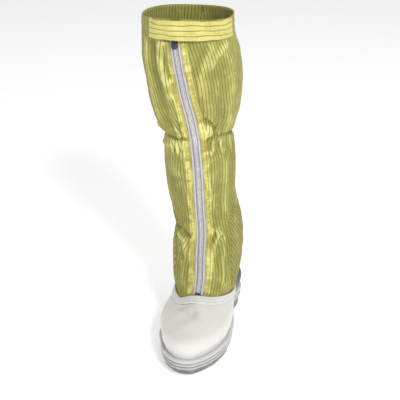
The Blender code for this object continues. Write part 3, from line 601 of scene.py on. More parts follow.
def both(values):
    """Values of a walled sheet's outer grid, then those of its inner one."""
    inner = values[::2, ::2]
    return np.concatenate([part.reshape(-1, part.shape[-1]) for part in (values, inner)])


def grid_normals(points):
    return unit(np.cross(np.gradient(points, axis=1), np.gradient(points, axis=0)))


def cloth_sheet(angles, rows, out=0.0, folds=1.0):
    """Grid on the folded cloth, moved out by out metres, with its place on the cloth's map."""
    base = cloth_base(angles, rows)
    a, v = np.meshgrid(angles, rows)
    s, z, back = cloth_map(a, v)
    off = cloth_offset(s, z, back, base) * MM * folds
    normals = grid_normals(base)
    return base + normals * (off + out)[..., None], normals, s, z, back, off / MM


# %% [markdown]
# ## Materials
#
# A shader is a small sum of masks. Writing it as Python expressions keeps it readable, so one class
# wraps a socket and lets masks be added and multiplied. Values that vary go only to colour,
# roughness, coat and bump. The stripes of the cloth read the cloth's own map, carried on each mesh
# as an attribute, because stripes by object coordinates would not follow the fold of a leg.

# %% Sockets as expressions
class Wire:
    """A socket that can be used in sums."""

    def __init__(self, tree, socket):
        self.tree, self.socket = tree, socket

    def put(self, kind, inputs, out=0, **settings):
        node = self.tree.nodes.new(kind)
        for key, value in settings.items():
            setattr(node, key, value)
        for key, value in inputs.items():
            if isinstance(value, Wire):
                self.tree.links.new(value.socket, node.inputs[key])
            else:
                node.inputs[key].default_value = value
        return Wire(self.tree, node.outputs[out])

    def math(self, operation, *others):
        return self.put("ShaderNodeMath", dict(enumerate((self,) + others)), operation=operation)

    def __add__(self, other):
        return self.math("ADD", other)

    def __sub__(self, other):
        return self.math("SUBTRACT", other)

    def __mul__(self, other):
        return self.math("MULTIPLY", other)

    def __rsub__(self, other):
        return self.put("ShaderNodeMath", {0: other, 1: self}, operation="SUBTRACT")

    __radd__ = __add__
    __rmul__ = __mul__

    def between(self, low, high):
        return self.put("ShaderNodeMapRange", {"Value": self, "From Min": low, "From Max": high},
                        interpolation_type="SMOOTHSTEP")

    def line(self, pitch, width):
        """1 on thin lines that are pitch apart, 0 between them."""
        gap = self.math("PINGPONG", pitch / 2.0)
        return 1 - gap.between(width * 0.5, width * 0.5 + pitch * 0.08)


def mix(share, first, second):
    """A colour between two colours; each is a Wire or three numbers."""
    wire = next(w for w in (share, first, second) if isinstance(w, Wire))
    sockets = {0: share}
    for key, value in ((6, first), (7, second)):
        sockets[key] = value if isinstance(value, Wire) else (*value, 1.0)
    return wire.put("ShaderNodeMix", sockets, out=2, data_type="RGBA")


def new_material(name, rough=0.5, **fixed):
    """A material and the Wire that its maps start from. fixed sets the shader's own sockets."""
    mat = bpy.data.materials.new(name)
    mat.use_nodes = True
    shader = mat.node_tree.nodes["Principled BSDF"]
    shader.inputs["Roughness"].default_value = rough
    for key, value in fixed.items():
        shader.inputs[key.replace("_", " ")].default_value = value
    return mat, shader, Wire(mat.node_tree, None)


def plug(shader, key, wire):
    wire.tree.links.new(wire.socket, shader.inputs[key])


def bump(shader, height, strength, distance):
    plug(shader, "Normal", height.put("ShaderNodeBump", {"Height": height, "Strength": strength,
                                                         "Distance": distance}))


def object_place(wire):
    return wire.put("ShaderNodeTexCoord", {}, out=3)


def noise(place, scale, detail=3.0, rough=0.55):
    return place.put("ShaderNodeTexNoise", {"Vector": place, "Scale": scale, "Detail": detail,
                                            "Roughness": rough})


def attribute(wire, name):
    """The vector of a mesh attribute."""
    return wire.put("ShaderNodeAttribute", {}, out=1, attribute_name=name)


def split(place):
    node = place.put("ShaderNodeSeparateXYZ", {0: place})
    outs = node.socket.node.outputs
    return [Wire(place.tree, outs[k]) for k in range(3)]


# %% Cloth: fine twill with a dark thread every five millimetres
STRIPE_PITCH = 5.0


def cloth_material(name, base, light, dark, stripe, depth=1.0, pitch=STRIPE_PITCH, mottle=None):
    mat, shader, wire = new_material(name, 0.82, Sheen_Weight=0.06, Sheen_Roughness=0.5,
                                     Specular_IOR_Level=0.3)
    place = object_place(wire)
    across, up, height = split(attribute(wire, "lay"))
    wobble = noise(place, 60.0, 2.0) - 0.5
    thread = (across + wobble * 0.5).line(pitch, 0.85)
    dashes = 0.8 + up.line(1.9, 0.55) * 0.2
    thread = thread * dashes * (0.70 + noise(place, 130.0, 2.0) * 0.60)
    # Fold height pulls the troughs towards the dark tone: painted shade, partly real soiling.
    ridge = height.between(-1.2, 2.2)
    patch = noise(place, 26.0, 4.0).between(0.36, 0.66)
    colour = mix(ridge * 0.75 + patch * 0.25, dark, base)
    if mottle:
        colour = mix(noise(place, 34.0, 4.0).between(0.42, 0.62), colour, mottle)
    # Fold ridges, broken by noise, are lifted towards the pale tone: painted highlights.
    glints = noise(place, 45.0, 3.0).between(0.3, 0.6)
    colour = mix(height.between(0.5, 3.0) * 0.75 * glints, colour, light)
    # Pale noise patches stand in for the small highlights of crinkled cloth: painted highlights.
    colour = mix(noise(place, 75.0, 5.0, 0.6).between(0.52, 0.72) * 0.32, colour, light)
    colour = mix(noise(place, 52.0, 5.0, 0.6).between(0.50, 0.36) * 0.35, colour, dark)
    colour = mix(noise(place, 420.0, 2.0).between(0.35, 0.75) * 0.16, colour, dark)
    colour = mix(thread * depth, colour, stripe)
    plug(shader, "Base Color", colour)
    plug(shader, "Roughness", 0.78 + noise(place, 200.0) * 0.12)
    twill = (across + up * 0.8).line(1.1, 0.4)
    bump(shader, twill * 0.5 - thread * 0.8 + noise(place, 330.0, 3.0) * 0.9, 0.35, 0.0006)
    return mat


CLOTH = cloth_material("yellow_cloth", (0.56, 0.53, 0.145), (0.84, 0.81, 0.30),
                       (0.30, 0.28, 0.068), (0.15, 0.135, 0.04), 0.9)
FACING = cloth_material("facing_cloth", (0.74, 0.69, 0.19), (0.90, 0.86, 0.33),
                        (0.36, 0.325, 0.075), (0.24, 0.21, 0.055), 0.6, mottle=(0.46, 0.42, 0.12))
STRAP = cloth_material("strap_cloth", (0.84, 0.78, 0.25), (0.92, 0.87, 0.38),
                       (0.48, 0.42, 0.13), (0.17, 0.15, 0.05), 0.8, pitch=6.8)


# %% White leather, moulded sole, black counter
def leather_material(name, base, dirt_and_shade, tint, rough, coat, grain, grain_depth):
    mat, shader, wire = new_material(name, rough, Coat_Roughness=0.3, Specular_IOR_Level=0.4)
    place = object_place(wire)
    grime_and_shade = split(attribute(wire, "lay"))[0]
    clouds = noise(place, 14.0, 4.0).between(0.35, 0.7)
    colour = mix(clouds * 0.5, base, tint)
    specks = noise(place, 160.0, 4.0, 0.7).between(0.56, 0.78)
    # The first value of lay darkens towards the soiled colour: real soiling, and on the sole and the
    # upper also painted shade.
    colour = mix(specks * 0.22 + grime_and_shade * (0.35 + noise(place, 70.0, 4.0) * 0.8), colour, dirt_and_shade)
    scuff = place.put("ShaderNodeMapping", {"Vector": place, "Rotation": (0.3, 0.2, 0.7),
                                            "Scale": (18.0, 160.0, 90.0)})
    scratches = noise(scuff, 1.0, 3.0).between(0.66, 0.78)
    colour = mix(scratches * 0.14, colour, dirt_and_shade)
    plug(shader, "Base Color", colour)
    plug(shader, "Roughness", rough - 0.08 + noise(place, 90.0) * 0.18 + scratches * 0.12)
    plug(shader, "Coat Weight", clouds * -0.4 * coat + coat)
    cells = place.put("ShaderNodeTexVoronoi", {"Vector": place, "Scale": grain})
    bump(shader, cells * 0.7 + noise(place, grain * 0.5, 3.0) * 0.6, 0.25, grain_depth)
    return mat


LEATHER = leather_material("white_leather", (0.78, 0.765, 0.735), (0.46, 0.43, 0.38),
                           (0.75, 0.72, 0.705), 0.5, 0.12, 900.0, 0.0004)
SOLE = leather_material("moulded_sole", (0.66, 0.655, 0.635), (0.17, 0.165, 0.15),
                        (0.60, 0.595, 0.58), 0.5, 0.1, 600.0, 0.0003)
COUNTER = leather_material("black_counter", (0.030, 0.029, 0.026), (0.10, 0.10, 0.09),
                           (0.022, 0.021, 0.02), 0.42, 0.2, 700.0, 0.0005)
print("leathers", LEATHER.name, SOLE.name, COUNTER.name)


# %% Zip tape, coil, thread and dark metal
def tape_material():
    mat, shader, wire = new_material("zip_tape", 0.75, Sheen_Weight=0.2)
    place = object_place(wire)
    across, up = split(attribute(wire, "lay"))[:2]
    ribs = up.line(1.1, 0.35)
    cords = across.line(1.6, 0.5)
    colour = mix(noise(place, 60.0, 4.0).between(0.3, 0.7), (0.58, 0.55, 0.58), (0.71, 0.675, 0.70))
    colour = mix(ribs * 0.2 + cords * 0.25, colour, (0.34, 0.32, 0.37))
    # Darkened under the coil and just beside it: painted shade of the coil, together with the dark line
    # of the stitching that holds it.
    colour = mix(across.between(4.9, 4.0) * 0.9, colour, (0.16, 0.155, 0.175))
    plug(shader, "Base Color", colour)
    plug(shader, "Roughness", 0.7 + noise(place, 180.0) * 0.15)
    bump(shader, noise(place, 500.0) * 0.4 - ribs * 0.6 - cords * 0.5, 0.4, 0.0005)
    return mat


def plain_material(name, base, worn, rough, metal=0.0, scale=120.0, **fixed):
    mat, shader, wire = new_material(name, rough, Metallic=metal, **fixed)
    place = object_place(wire)
    patches = noise(place, scale, 4.0).between(0.35, 0.7)
    plug(shader, "Base Color", mix(patches, base, worn))
    plug(shader, "Roughness", rough - 0.06 + noise(place, scale * 2.0) * 0.16)
    bump(shader, noise(place, scale * 5.0, 3.0), 0.2, 0.0003)
    return mat


TAPE = tape_material()
COIL = plain_material("nylon_coil", (0.60, 0.595, 0.59), (0.74, 0.73, 0.72), 0.32, scale=200.0)
DARK_METAL = plain_material("dark_metal", (0.055, 0.055, 0.06), (0.16, 0.155, 0.15), 0.34, 1.0)
YELLOW_THREAD = plain_material("yellow_thread", (0.74, 0.68, 0.22), (0.56, 0.51, 0.15), 0.7)
CLOTH_THREAD = plain_material("cloth_thread", (0.42, 0.385, 0.11), (0.30, 0.275, 0.07), 0.75)
WHITE_THREAD = plain_material("white_thread", (0.66, 0.64, 0.61), (0.52, 0.50, 0.47), 0.65)
BLACK_THREAD = plain_material("black_thread", (0.035, 0.034, 0.032), (0.06, 0.06, 0.055), 0.6)
INSOLE = plain_material("insole_felt", (0.36, 0.36, 0.35), (0.28, 0.28, 0.27), 0.9, scale=300.0)

# %% [markdown]
# ## The sole
#
# The real sole is one white moulding with a bead, two ribs and a wall that draws in to the tread.
# It is the foot's outline swept down a short profile. Lofting it again in fine steps rounds every
# edge, which a bevel on so many close ribs could not do evenly.

# %% Sole
SOLE_AROUND = 420
SIDE_STEPS = 5
t_sole = np.linspace(0, 2 * math.pi, SOLE_AROUND, endpoint=False)
side_at = np.linspace(0, len(SIDE) - 1, (len(SIDE) - 1) * SIDE_STEPS + 1)
side_fine = smooth(range(len(SIDE)), SIDE, side_at)


def sole_side():
    x, y = foot_outline(t_sole, WALL_INSET - GAP)
    rings = [np.stack([x, y, height_on(BED, y)], axis=-1)]
    for inset, drop, foot in side_fine:
        x, y = foot_outline(t_sole, inset * RIM_RISE)
        top = height_on(BED, y) + RIM_RISE * (1 - drop)
        rings.append(np.stack([x, y, top + (height_on(TREAD, y) - top) * foot], axis=-1))
    return np.stack(rings)


def lugs(x, y):
    """Height of the tread's pattern: grooves across, broken by a channel down the middle."""
    along = (HEEL_BACK - y) / SOLE_LENGTH
    heel = ramp(along, 0.05, 0.06) * ramp(along, 0.25, 0.24)
    ball = ramp(along, 0.54, 0.55) * ramp(along, 0.84, 0.83)
    wave = np.abs(((along * 22.2 + 0.16 * np.cos(x / (9 * MM))) % 1.0) - 0.5)
    across = ramp(np.abs(x) / BALL_WIDTH, 0.43, 0.40) * ball
    across = across + ramp(np.abs(x) / BALL_WIDTH, 0.24, 0.21) * heel
    return TREAD_DEPTH * ramp(wave, 0.17, 0.11) * across


def strip_cap(ring, height, across, pattern, upwards, start, base):
    """Closes a ring with strips across the foot. Returns the added points and the faces."""
    half = len(ring) // 2
    share = np.linspace(0, 1, across + 1)[None, :, None]
    left, right = ring[1:half], ring[:half:-1]
    rows = left[:, None] * (1 - share) + right[:, None] * share
    inner = rows[:, 1:-1].copy()
    inner[..., 2] = height(inner[..., 1])
    if pattern is not None:
        inner[..., 2] += pattern(inner[..., 0], inner[..., 1])
    count = across - 1
    index = np.empty((half - 1, across + 1), int)
    index[:, 0] = start + np.arange(1, half)
    index[:, -1] = start + np.arange(len(ring) - 1, half, -1)
    index[:, 1:-1] = base + np.arange((half - 1) * count).reshape(half - 1, count)
    faces = []
    for k in range(across):
        faces.append((start, index[0, k], index[0, k + 1]))
        faces.append((start + half, index[-1, k + 1], index[-1, k]))
    quads = np.stack([index[:-1, :-1], index[1:, :-1], index[1:, 1:], index[:-1, 1:]], axis=-1)
    faces += quads.reshape(-1, 4).tolist()
    faces = [tuple(int(n) for n in f) for f in faces]
    return inner.reshape(-1, 3), faces if upwards else [f[::-1] for f in faces]


side = sole_side()
side_points = side.reshape(-1, 3)
faces = grid_faces(len(side), SOLE_AROUND, True, flip=True)
bed_points, bed_faces = strip_cap(side[0], lambda y: height_on(BED, y), 10, None, True, 0,
                                  len(side_points))
tread_points, tread_faces = strip_cap(side[-1], lambda y: height_on(TREAD, y), 64, lugs, False,
                                      (len(side) - 1) * SOLE_AROUND,
                                      len(side_points) + len(bed_points))
sole_points = np.concatenate([side_points, bed_points, tread_points])
row_drop = np.concatenate([[0.0], side_fine[:, 1] + 1.5 * side_fine[:, 2]])
row_inset = np.concatenate([[0.9], side_fine[:, 0]])
# Darker on the recessed rows between the ribs and down the lower wall: painted shade, partly real
# soiling in the grooves. An even greying lies over the whole side.
grime_and_shade = np.clip((row_inset - 0.2) * 2.4, 0, 1) * ramp(row_drop, 0.9, 1.2) * 1.05
grime_and_shade = grime_and_shade + 0.10 * ramp(row_drop, 2.3, 3.4) + 0.12
lay = np.zeros((len(sole_points), 3))
lay[:len(side_points), 0] = np.repeat(grime_and_shade, SOLE_AROUND)
lay[len(side_points):, 0] = 0.35
sole = piece("moulded_sole", sole_points, faces + bed_faces + tread_faces, SOLE, lay=lay)
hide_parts("sole")
print("sole", len(sole.data.polygons), "faces")

# %% [markdown]
# ## The white shoe body
#
# A shell of coated leather with a soft, low toe. Its broad shape is the lofted form. The shallow
# dents where the toes bend are added as listed troughs and swellings, in the same way as
# the cloth's folds, but measured from above the foot.

# %% Upper
UPPER_COLUMNS, UPPER_LINES = 320, 89
t_upper = np.linspace(0, 2 * math.pi, UPPER_COLUMNS, endpoint=False)
v_upper = np.linspace(0, LEATHER_TOP_ROW, UPPER_LINES)
# half width, height, path of x and y in mm
DENTS = [
    (9, -8.0, [(-14, -146), (-6, -155), (2, -163)]),
    (14, -1.6, [(-8, -150), (4, -172), (-14, -186)]),
    (9, 1.4, [(-28, -146), (-20, -164)]),
    (10, 1.0, [(12, -146), (17, -166)]),
    (20, -0.9, [(24, -150), (30, -172)]),
    (9, -0.9, [(-34, -165), (-10, -181)]),
    (8, 0.6, [(-28, -182), (0, -192), (22, -186)]),
    (7, -0.6, [(18, -138), (36, -150)]),
    (10, -0.8, [(-36, -110), (-44, -130)]),
    (10, -0.8, [(34, -100), (42, -125)]),
]


def heel_rows(t):
    """The binding is narrower around the heel, by this many rows."""
    return 0.42 * ramp(np.cos(t), 0.55, 0.05)


def upper_sheet(t_list, v_list, out=0.0, reach=0.0):
    """Grid on the dented leather. reach of 1 carries it up to the binding around the heel."""
    t, v = np.meshgrid(t_list, v_list)
    v = v + reach * heel_rows(t) * (v - v_list[0]) / (v_list[-1] - v_list[0])
    base = upper_point(t, v)
    normal = upper_normal(t, v)
    top = np.clip(normal[..., 2], 0, 1)**0.7 * ramp(v, 1.0, 2.5) * ramp(v, 6.6, 5.6)
    dent = along_paths(DENTS, base[..., 0] / MM, base[..., 1] / MM) * top
    ripple = 0.18 * soft_noise(base) * ramp(v, 1.2, 2.4) * ramp(v, 6.6, 5.6)
    return base + normal * ((dent + ripple) * MM + out)[..., None], normal, t, v


outer, normal, t, v = upper_sheet(t_upper, v_upper)
inner = (outer - normal * UPPER_WALL)[::2, ::2]
points, faces = walled(outer, inner, True)
# Darker near the sole, which is soiling, and in a band just under the binding: painted shade.
grime_and_shade = 0.30 * ramp(v, 2.0, 1.05) + 0.05 + 0.15 * ramp(v, 5.6, 6.0)
lay = np.stack([grime_and_shade, v, t], axis=-1)
upper = piece("white_upper", points, faces, LEATHER, lay=both(lay))
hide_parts("upper")
print("upper", len(upper.data.polygons), "faces")

# %% Heel counter: a black panel with thin, rounded edges
COUNTER_HALF = math.radians(76.0)
COUNTER_STITCH = 0.075
COUNTER_OUT = 1.6 * GAP
v_counter = np.linspace(1.0, COUNTER_TOP_ROW, 65)
t_counter = math.pi + np.linspace(-COUNTER_HALF, COUNTER_HALF, 197)
outer, normal, t, v = upper_sheet(t_counter, v_counter, COUNTER_OUT, 1.0)
from_end = (COUNTER_HALF - np.abs(t - math.pi)) / COUNTER_HALF
top_edge = ramp(v_counter, COUNTER_TOP_ROW, COUNTER_TOP_ROW - 0.14)[:, None]
edge = np.minimum(ramp(from_end, 0, 0.03), top_edge)
stitch_line = bell(from_end, COUNTER_STITCH, 0.012)
thick = OVERLAY * (0.25 + 0.75 * np.sqrt(edge)) - 0.25 * MM * stitch_line
points, faces = walled(outer + normal * thick[..., None], outer[::2, ::2])
worn = 0.25 * ramp(from_end, 0.03, 0) + 0.35 * ramp(v, 2.2, 1.0)
lay = np.stack([worn, v, t], axis=-1)
counter = piece("black_heel_counter", points, faces, COUNTER, lay=both(lay))
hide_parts("heel_counter")
print("counter", len(counter.data.polygons), "faces")

# %% Binding: a rounded white band over the topline, its two stitch rows pressed in
BINDING_STITCH_ROWS = (6.25, 6.72)
t_band = np.linspace(0, 2 * math.pi, 480, endpoint=False)
lift = upper_lift(t_band)


def band_row(t, v):
    return LEATHER_TOP_ROW - (LEATHER_TOP_ROW - v) * (1 - heel_rows(t))


def band_point(v, out, rise=0.0):
    return upper_out(t_band, band_row(t_band, v), out) + lift * rise


outs = []
pucker = 0.16 * MM * np.sin(t_band * 75 + 0.7 * np.sin(t_band * 9))
for v in np.linspace(BINDING_LOW_ROW, LEATHER_TOP_ROW, 19):
    soft = ramp(v, BINDING_LOW_ROW - 0.02, BINDING_LOW_ROW + 0.12)
    pressed = 0.35 * MM * sum(bell(v, line, 0.07) for line in BINDING_STITCH_ROWS)
    thick = OVERLAY * (0.2 + 0.8 * math.sqrt(soft))
    outs.append(band_point(v, GAP + thick - pressed + pucker * soft))
middle_out = (GAP + OVERLAY - UPPER_WALL) / 2
half_out = (GAP + OVERLAY + UPPER_WALL) / 2
for angle in np.radians(np.linspace(10, 170, 9)):
    outs.append(band_point(LEATHER_TOP_ROW, middle_out + half_out * math.cos(angle),
                           1.7 * MM * math.sin(angle)))
outs += [band_point(LEATHER_TOP_ROW, out, 0.45 * MM) for out in (-UPPER_WALL, GAP)]
outs += [band_point(BINDING_LOW_ROW + 0.5, GAP), band_point(BINDING_LOW_ROW, GAP)]
rings = np.stack(outs)
count = len(t_band)
faces = grid_faces(len(rings), count, True)
last = (len(rings) - 1) * count
faces += [(last + j, last + (j + 1) % count, (j + 1) % count, j) for j in range(count)]
lay = np.zeros((len(rings) * count, 3))
lay[:, 0] = 0.06
binding = piece("white_binding", rings.reshape(-1, 3), faces, LEATHER, lay=lay)
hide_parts("topline_binding")
print("binding", len(binding.data.polygons), "faces")

# %% [markdown]
# ## The cloth shaft
#
# One tube, open down the front for the zip. The stripes run up the cloth, except on the heel panel,
# which is cut on the bias, so its stripes run down and back. The attribute called lay holds the
# distance across the stripes, the distance along them, and how far the cloth is pushed out, which
# the shader turns into painted shade in the troughs, partly real soiling, and painted highlights on
# the ridges. On the heel panel the last value is lowered, which paints the panel dark: painted shade.

# %% Shaft
SLOT_EDGE = near(7.5 * MM)
half_columns = np.concatenate([np.linspace(SLOT_EDGE, NEAR, 13)[:-1],
                               NEAR + (math.pi - NEAR) * np.linspace(0, 1, 128)])
v_shaft = np.concatenate([np.linspace(0, 1.5, 9)[:-1], np.linspace(1.5, TOP_ROW, 270)])
v_shaft = v_shaft[:len(v_shaft) - (len(v_shaft) + 1) % 2]  # the wall needs an odd count
v_shaft[-1] = TOP_ROW


def panel_lay(s, z, back, off):
    """Across the stripes, along them, and how far the cloth is pushed out.

    Each half of the shaft is cut with its stripes straight along its middle, halfway round from the
    zip to the back seam, so both edges cut through them.
    """
    on_panel = heel_panel(s, z, back)[0]
    across = np.where(on_panel, 0.74 * np.abs(s) + 0.67 * z, 100 + (np.abs(s) - np.abs(back)) / 2)
    along = np.where(on_panel, 0.67 * np.abs(s) - 0.74 * z, z)
    # On the heel panel the last value is lowered by 3.2, which paints the whole panel in the dark tone:
    # painted shade.
    return np.stack([across, along, off - 3.2 * on_panel], axis=-1)


medial, _, s_m, z_m, b_m, off_m = cloth_sheet(half_columns, v_shaft)
lateral, _, s_l, z_l, b_l, off_l = cloth_sheet(-half_columns[::-1], v_shaft)
seam = (medial[:, -1] + lateral[:, 0]) / 2
medial[:, -1] = seam
outer = np.concatenate([medial, lateral[:, 1:]], axis=1)
normal = grid_normals(outer)
lay = np.concatenate([panel_lay(s_m, z_m, b_m, off_m), panel_lay(s_l, z_l, b_l, off_l)[:, 1:]], axis=1)
turned = ramp(v_shaft, 15.52, 15.56) * 0.5 - 0.35 * bell(v_shaft, 15.58, 0.03)
outer = outer + normal * (turned * MM)[:, None, None]
inner = (outer - normal * FABRIC_WALL)[::2, ::2]
points, faces = walled(outer, inner)
shaft = piece("cloth_shaft", points, faces, CLOTH, lay=both(lay))
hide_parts("shaft")
print("shaft", outer.shape, len(shaft.data.polygons), "faces")

# %% Facings: brighter strips of cloth beside the zip, each with two pressed stitch rows
v_facing = np.linspace(2.0, 14.9, 301)
FACING_ROWS = (10.9, 14.6)
FACING_OUT = 1.3 * GAP
for side_sign, word in ((1, "medial"), (-1, "lateral")):
    columns = np.linspace(near(7.6 * MM), NEAR, 21)
    columns = columns if side_sign > 0 else -columns[::-1]
    grid, normal, s, z, back, off = cloth_sheet(columns, v_facing, FACING_OUT)
    from_edge = np.minimum(np.abs(s) - 7.6, 17.5 - np.abs(s))
    thick = 0.25 + 0.75 * np.sqrt(ramp(from_edge, 0, 0.8))
    for line in FACING_ROWS:
        thick = thick - 0.4 * bell(np.abs(s), line, 0.55)
    ripple = np.sin(z * 2 * math.pi / 6.2 + 1.3 * np.sin(z / 17.0))
    thick = thick + 0.4 * ripple * bell(np.abs(s), 12.7, 3)
    crinkle = soft_noise(grid, FINE)
    thick = thick + 0.12 * crinkle * ramp(from_edge, 0, 1.5)
    points, faces = walled(grid + normal * (thick * MM)[..., None], grid[::2, ::2])
    # The last value lifts raised edges and crinkles towards the pale tone and sinks the pressed stitch
    # rows towards the dark one: painted highlights and painted shade.
    lay = np.stack([np.abs(s) + 0.9, z, off + 2.4 * (thick - 0.7) + 0.8 * crinkle + 0.6], axis=-1)
    facing = piece("zip_facing_cloth_" + word, points, faces, FACING, lay=both(lay))
    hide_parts("zip_facing_" + word)

# %% Tapes: woven strips that carry on under the coil
v_tape = np.linspace(1.5, 15.5, 261)
TAPE_OUT = -0.35 * MM
for side_sign, word in ((1, "medial"), (-1, "lateral")):
    columns = np.linspace(near(0.15 * MM), near(7.4 * MM), 17)
    columns = columns if side_sign > 0 else -columns[::-1]
    grid, normal, s, z, back, off = cloth_sheet(columns, v_tape, TAPE_OUT)
    sink = -0.55 * ramp(np.abs(s), 3.4, 2.4)
    top = grid + normal * (sink * MM)[..., None]
    points, faces = walled(top, (top - normal * 0.5 * MM)[::2, ::2])
    lay = np.stack([np.abs(s), z, off], axis=-1)
    tape = piece("zip_tape_weave_" + word, points, faces, TAPE, lay=both(lay))
    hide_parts("zip_tape_" + word)
print("facings and tapes follow the cloth's folds")

# %% [markdown]
# ## Things that repeat
#
# A coil zip is one bent loop, repeated some three hundred times on each side, and a stitch is one
# short arch of thread. Both repeat along a path that lies on the boot, so one Geometry Nodes tree
# makes either: it walks the path in even steps, stands a small arch on each step, turns it by the
# path's direction and the surface's normal, and makes the result real.

# %% A tree that repeats an arch along a path
def repeat_tree():
    tree = bpy.data.node_groups.new("arches_on_a_path", "GeometryNodeTree")
    kinds = {"Path": "Geometry", "Pitch": "Float", "Arch from": "Vector", "Arch top": "Vector",
             "Arch to": "Vector", "Thread radius": "Float", "Zigzag": "Float",
             "Unevenness": "Float", "Seed": "Int", "Material": "Material"}
    for name, kind in kinds.items():
        tree.interface.new_socket(name=name, in_out="INPUT", socket_type="NodeSocket" + kind)
    tree.interface.new_socket(name="Arches", in_out="OUTPUT", socket_type="NodeSocketGeometry")
    given = {s.name: Wire(tree, s) for s in tree.nodes.new("NodeGroupInput").outputs}
    result = tree.nodes.new("NodeGroupOutput")
    put = Wire(tree, None).put
    curve = put("GeometryNodeMeshToCurve", {"Mesh": given["Path"]})
    steps = put("GeometryNodeResampleCurve", {"Curve": curve, "Length": given["Pitch"]},
                mode="LENGTH")
    arch = put("GeometryNodeCurveQuadraticBezier",
               {"Resolution": 7, "Start": given["Arch from"], "Middle": given["Arch top"],
                "End": given["Arch to"]})
    ring = put("GeometryNodeCurvePrimitiveCircle",
               {"Resolution": 6, "Radius": given["Thread radius"]})
    thread = put("GeometryNodeCurveToMesh", {"Curve": arch, "Profile Curve": ring, "Fill Caps": True})
    out = put("GeometryNodeInputNamedAttribute", {"Name": "out"}, data_type="FLOAT_VECTOR")
    tangent = put("GeometryNodeInputTangent", {})
    turn = put("FunctionNodeAxesToRotation", {0: out, 1: tangent},
               primary_axis="Z", secondary_axis="X")
    index = put("GeometryNodeInputIndex", {})
    odd = put("ShaderNodeMath", {0: index, 1: 2.0}, operation="MODULO")
    way = put("ShaderNodeMath", {0: odd, 1: 2.0, 2: -1.0}, operation="MULTIPLY_ADD")
    lean = put("ShaderNodeMath", {0: way, 1: given["Zigzag"]}, operation="MULTIPLY")
    shake = put("FunctionNodeRandomValue", {"Min": -1.0, "Max": 1.0, "Seed": given["Seed"]}, out=1)
    shake = put("ShaderNodeMath", {0: shake, 1: given["Unevenness"]}, operation="MULTIPLY")
    lean = put("ShaderNodeMath", {0: lean, 1: shake}, operation="ADD")
    spin = put("FunctionNodeAxisAngleToRotation", {"Axis": (0.0, 0.0, 1.0), "Angle": lean})
    turn = put("FunctionNodeRotateRotation", {"Rotation": turn, "Rotate By": spin},
               rotation_space="LOCAL")
    laid = put("GeometryNodeInstanceOnPoints",
               {"Points": steps, "Instance": thread, "Rotation": turn})
    real = put("GeometryNodeRealizeInstances", {"Geometry": laid})
    smoothed = put("GeometryNodeSetShadeSmooth", {"Geometry": real})
    done = put("GeometryNodeSetMaterial", {"Geometry": smoothed, "Material": given["Material"]})
    tree.links.new(done.socket, result.inputs[0])
    return tree


TREE = repeat_tree()
INPUTS = {item.name: item.identifier for item in TREE.interface.items_tree if item.in_out == "INPUT"}
print("inputs", ", ".join(INPUTS))


# %% Using the tree
def repeat(name, paths, pitch, arch, radius, material, zigzag=0.0, uneven=0.05):
    """paths: pairs of points and outward directions, one pair for each run."""
    points = np.concatenate([p for p, n in paths])
    outs = np.concatenate([n for p, n in paths])
    edges, start = [], 0
    for p, n in paths:
        edges += [(start + k, start + k + 1) for k in range(len(p) - 1)]
        start += len(p)
    mesh = bpy.data.meshes.new(name + "_path")
    mesh.from_pydata(points.tolist(), edges, [])
    layer = mesh.attributes.new("out", "FLOAT_VECTOR", "POINT")
    layer.data.foreach_set("vector", outs.astype(np.float32).ravel())
    holder = linked(name + "_path", mesh)
    modifier = holder.modifiers.new("repeat", "NODES")
    modifier.node_group = TREE
    settings = {"Pitch": pitch, "Arch from": arch[0], "Arch top": arch[1], "Arch to": arch[2],
                "Thread radius": radius, "Zigzag": zigzag, "Unevenness": uneven, "Seed": 3,
                "Material": material}
    for key, value in settings.items():
        modifier[INPUTS[key]] = value
    depsgraph = bpy.context.evaluated_depsgraph_get()
    made = bpy.data.meshes.new_from_object(holder.evaluated_get(depsgraph))
    bpy.data.objects.remove(holder, do_unlink=True)
    obj = linked(name, made)
    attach(obj, "boot")
    print(name, len(made.polygons), "faces")
    return obj


def stitch(length):
    """An arch of thread: its ends are a little under the surface."""
    half, height = length / 2, 0.35 * MM
    return [(-half, 0.0, -height * 0.6), (0.0, 0.0, height), (half, 0.0, -height * 0.6)]


def cloth_column(a, v_list, out):
    """A run of points up the folded cloth at angle a, and the outward directions there."""
    columns = np.array([a - 0.01, a, a + 0.01])
    grid, normal, *rest = cloth_sheet(columns, v_list, out)
    return grid[:, 1], normal[:, 1]


# %% Coil: two rows of nylon loops that meet in the middle
v_coil = np.linspace(2.0, 14.85, 360)
middle, outward = cloth_column(0.0, v_coil, TAPE_OUT)
runs = []
for sign, word in ((1, "medial"), (-1, "lateral")):
    first = 0 if sign > 0 else 1
    shift = unit(np.gradient(middle, axis=0)) * (first * COIL_PITCH / 2)
    arch = [(0.0, -sign * 3.0 * MM, 0.0), (0.0, -sign * 2.0 * MM, 2.9 * MM),
            (0.0, sign * 0.55 * MM, 0.25 * MM)]
    runs.append(repeat("coil_" + word, [(middle + shift, outward)], COIL_PITCH, arch, 0.52 * MM,
                       COIL, uneven=0.03))
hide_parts("zip_coil")

# %% Stitches of the cloth: the facings' rows, the hem, the heel panel's edge and the back seam
HALF_GIRTH = 200.0  # mm from the zip to the back line, roughly: a first guess


def cloth_spot(s, z):
    """Angle and row of a point that is s mm from the zip and z mm above the floor."""
    a, v = s / HALF_GIRTH * math.pi, TOP_ROW / 2
    for _ in range(6):
        j = int(np.argmin(np.abs(MAP_ANGLES - a)))
        v = float(np.interp(z, MAP_HEIGHT[:, j], MAP_ROWS))
        i = int(round(v / TOP_ROW * (len(MAP_ROWS) - 1)))
        a = float(np.interp(s, MAP_ARC[i], MAP_ANGLES))
    return a, v


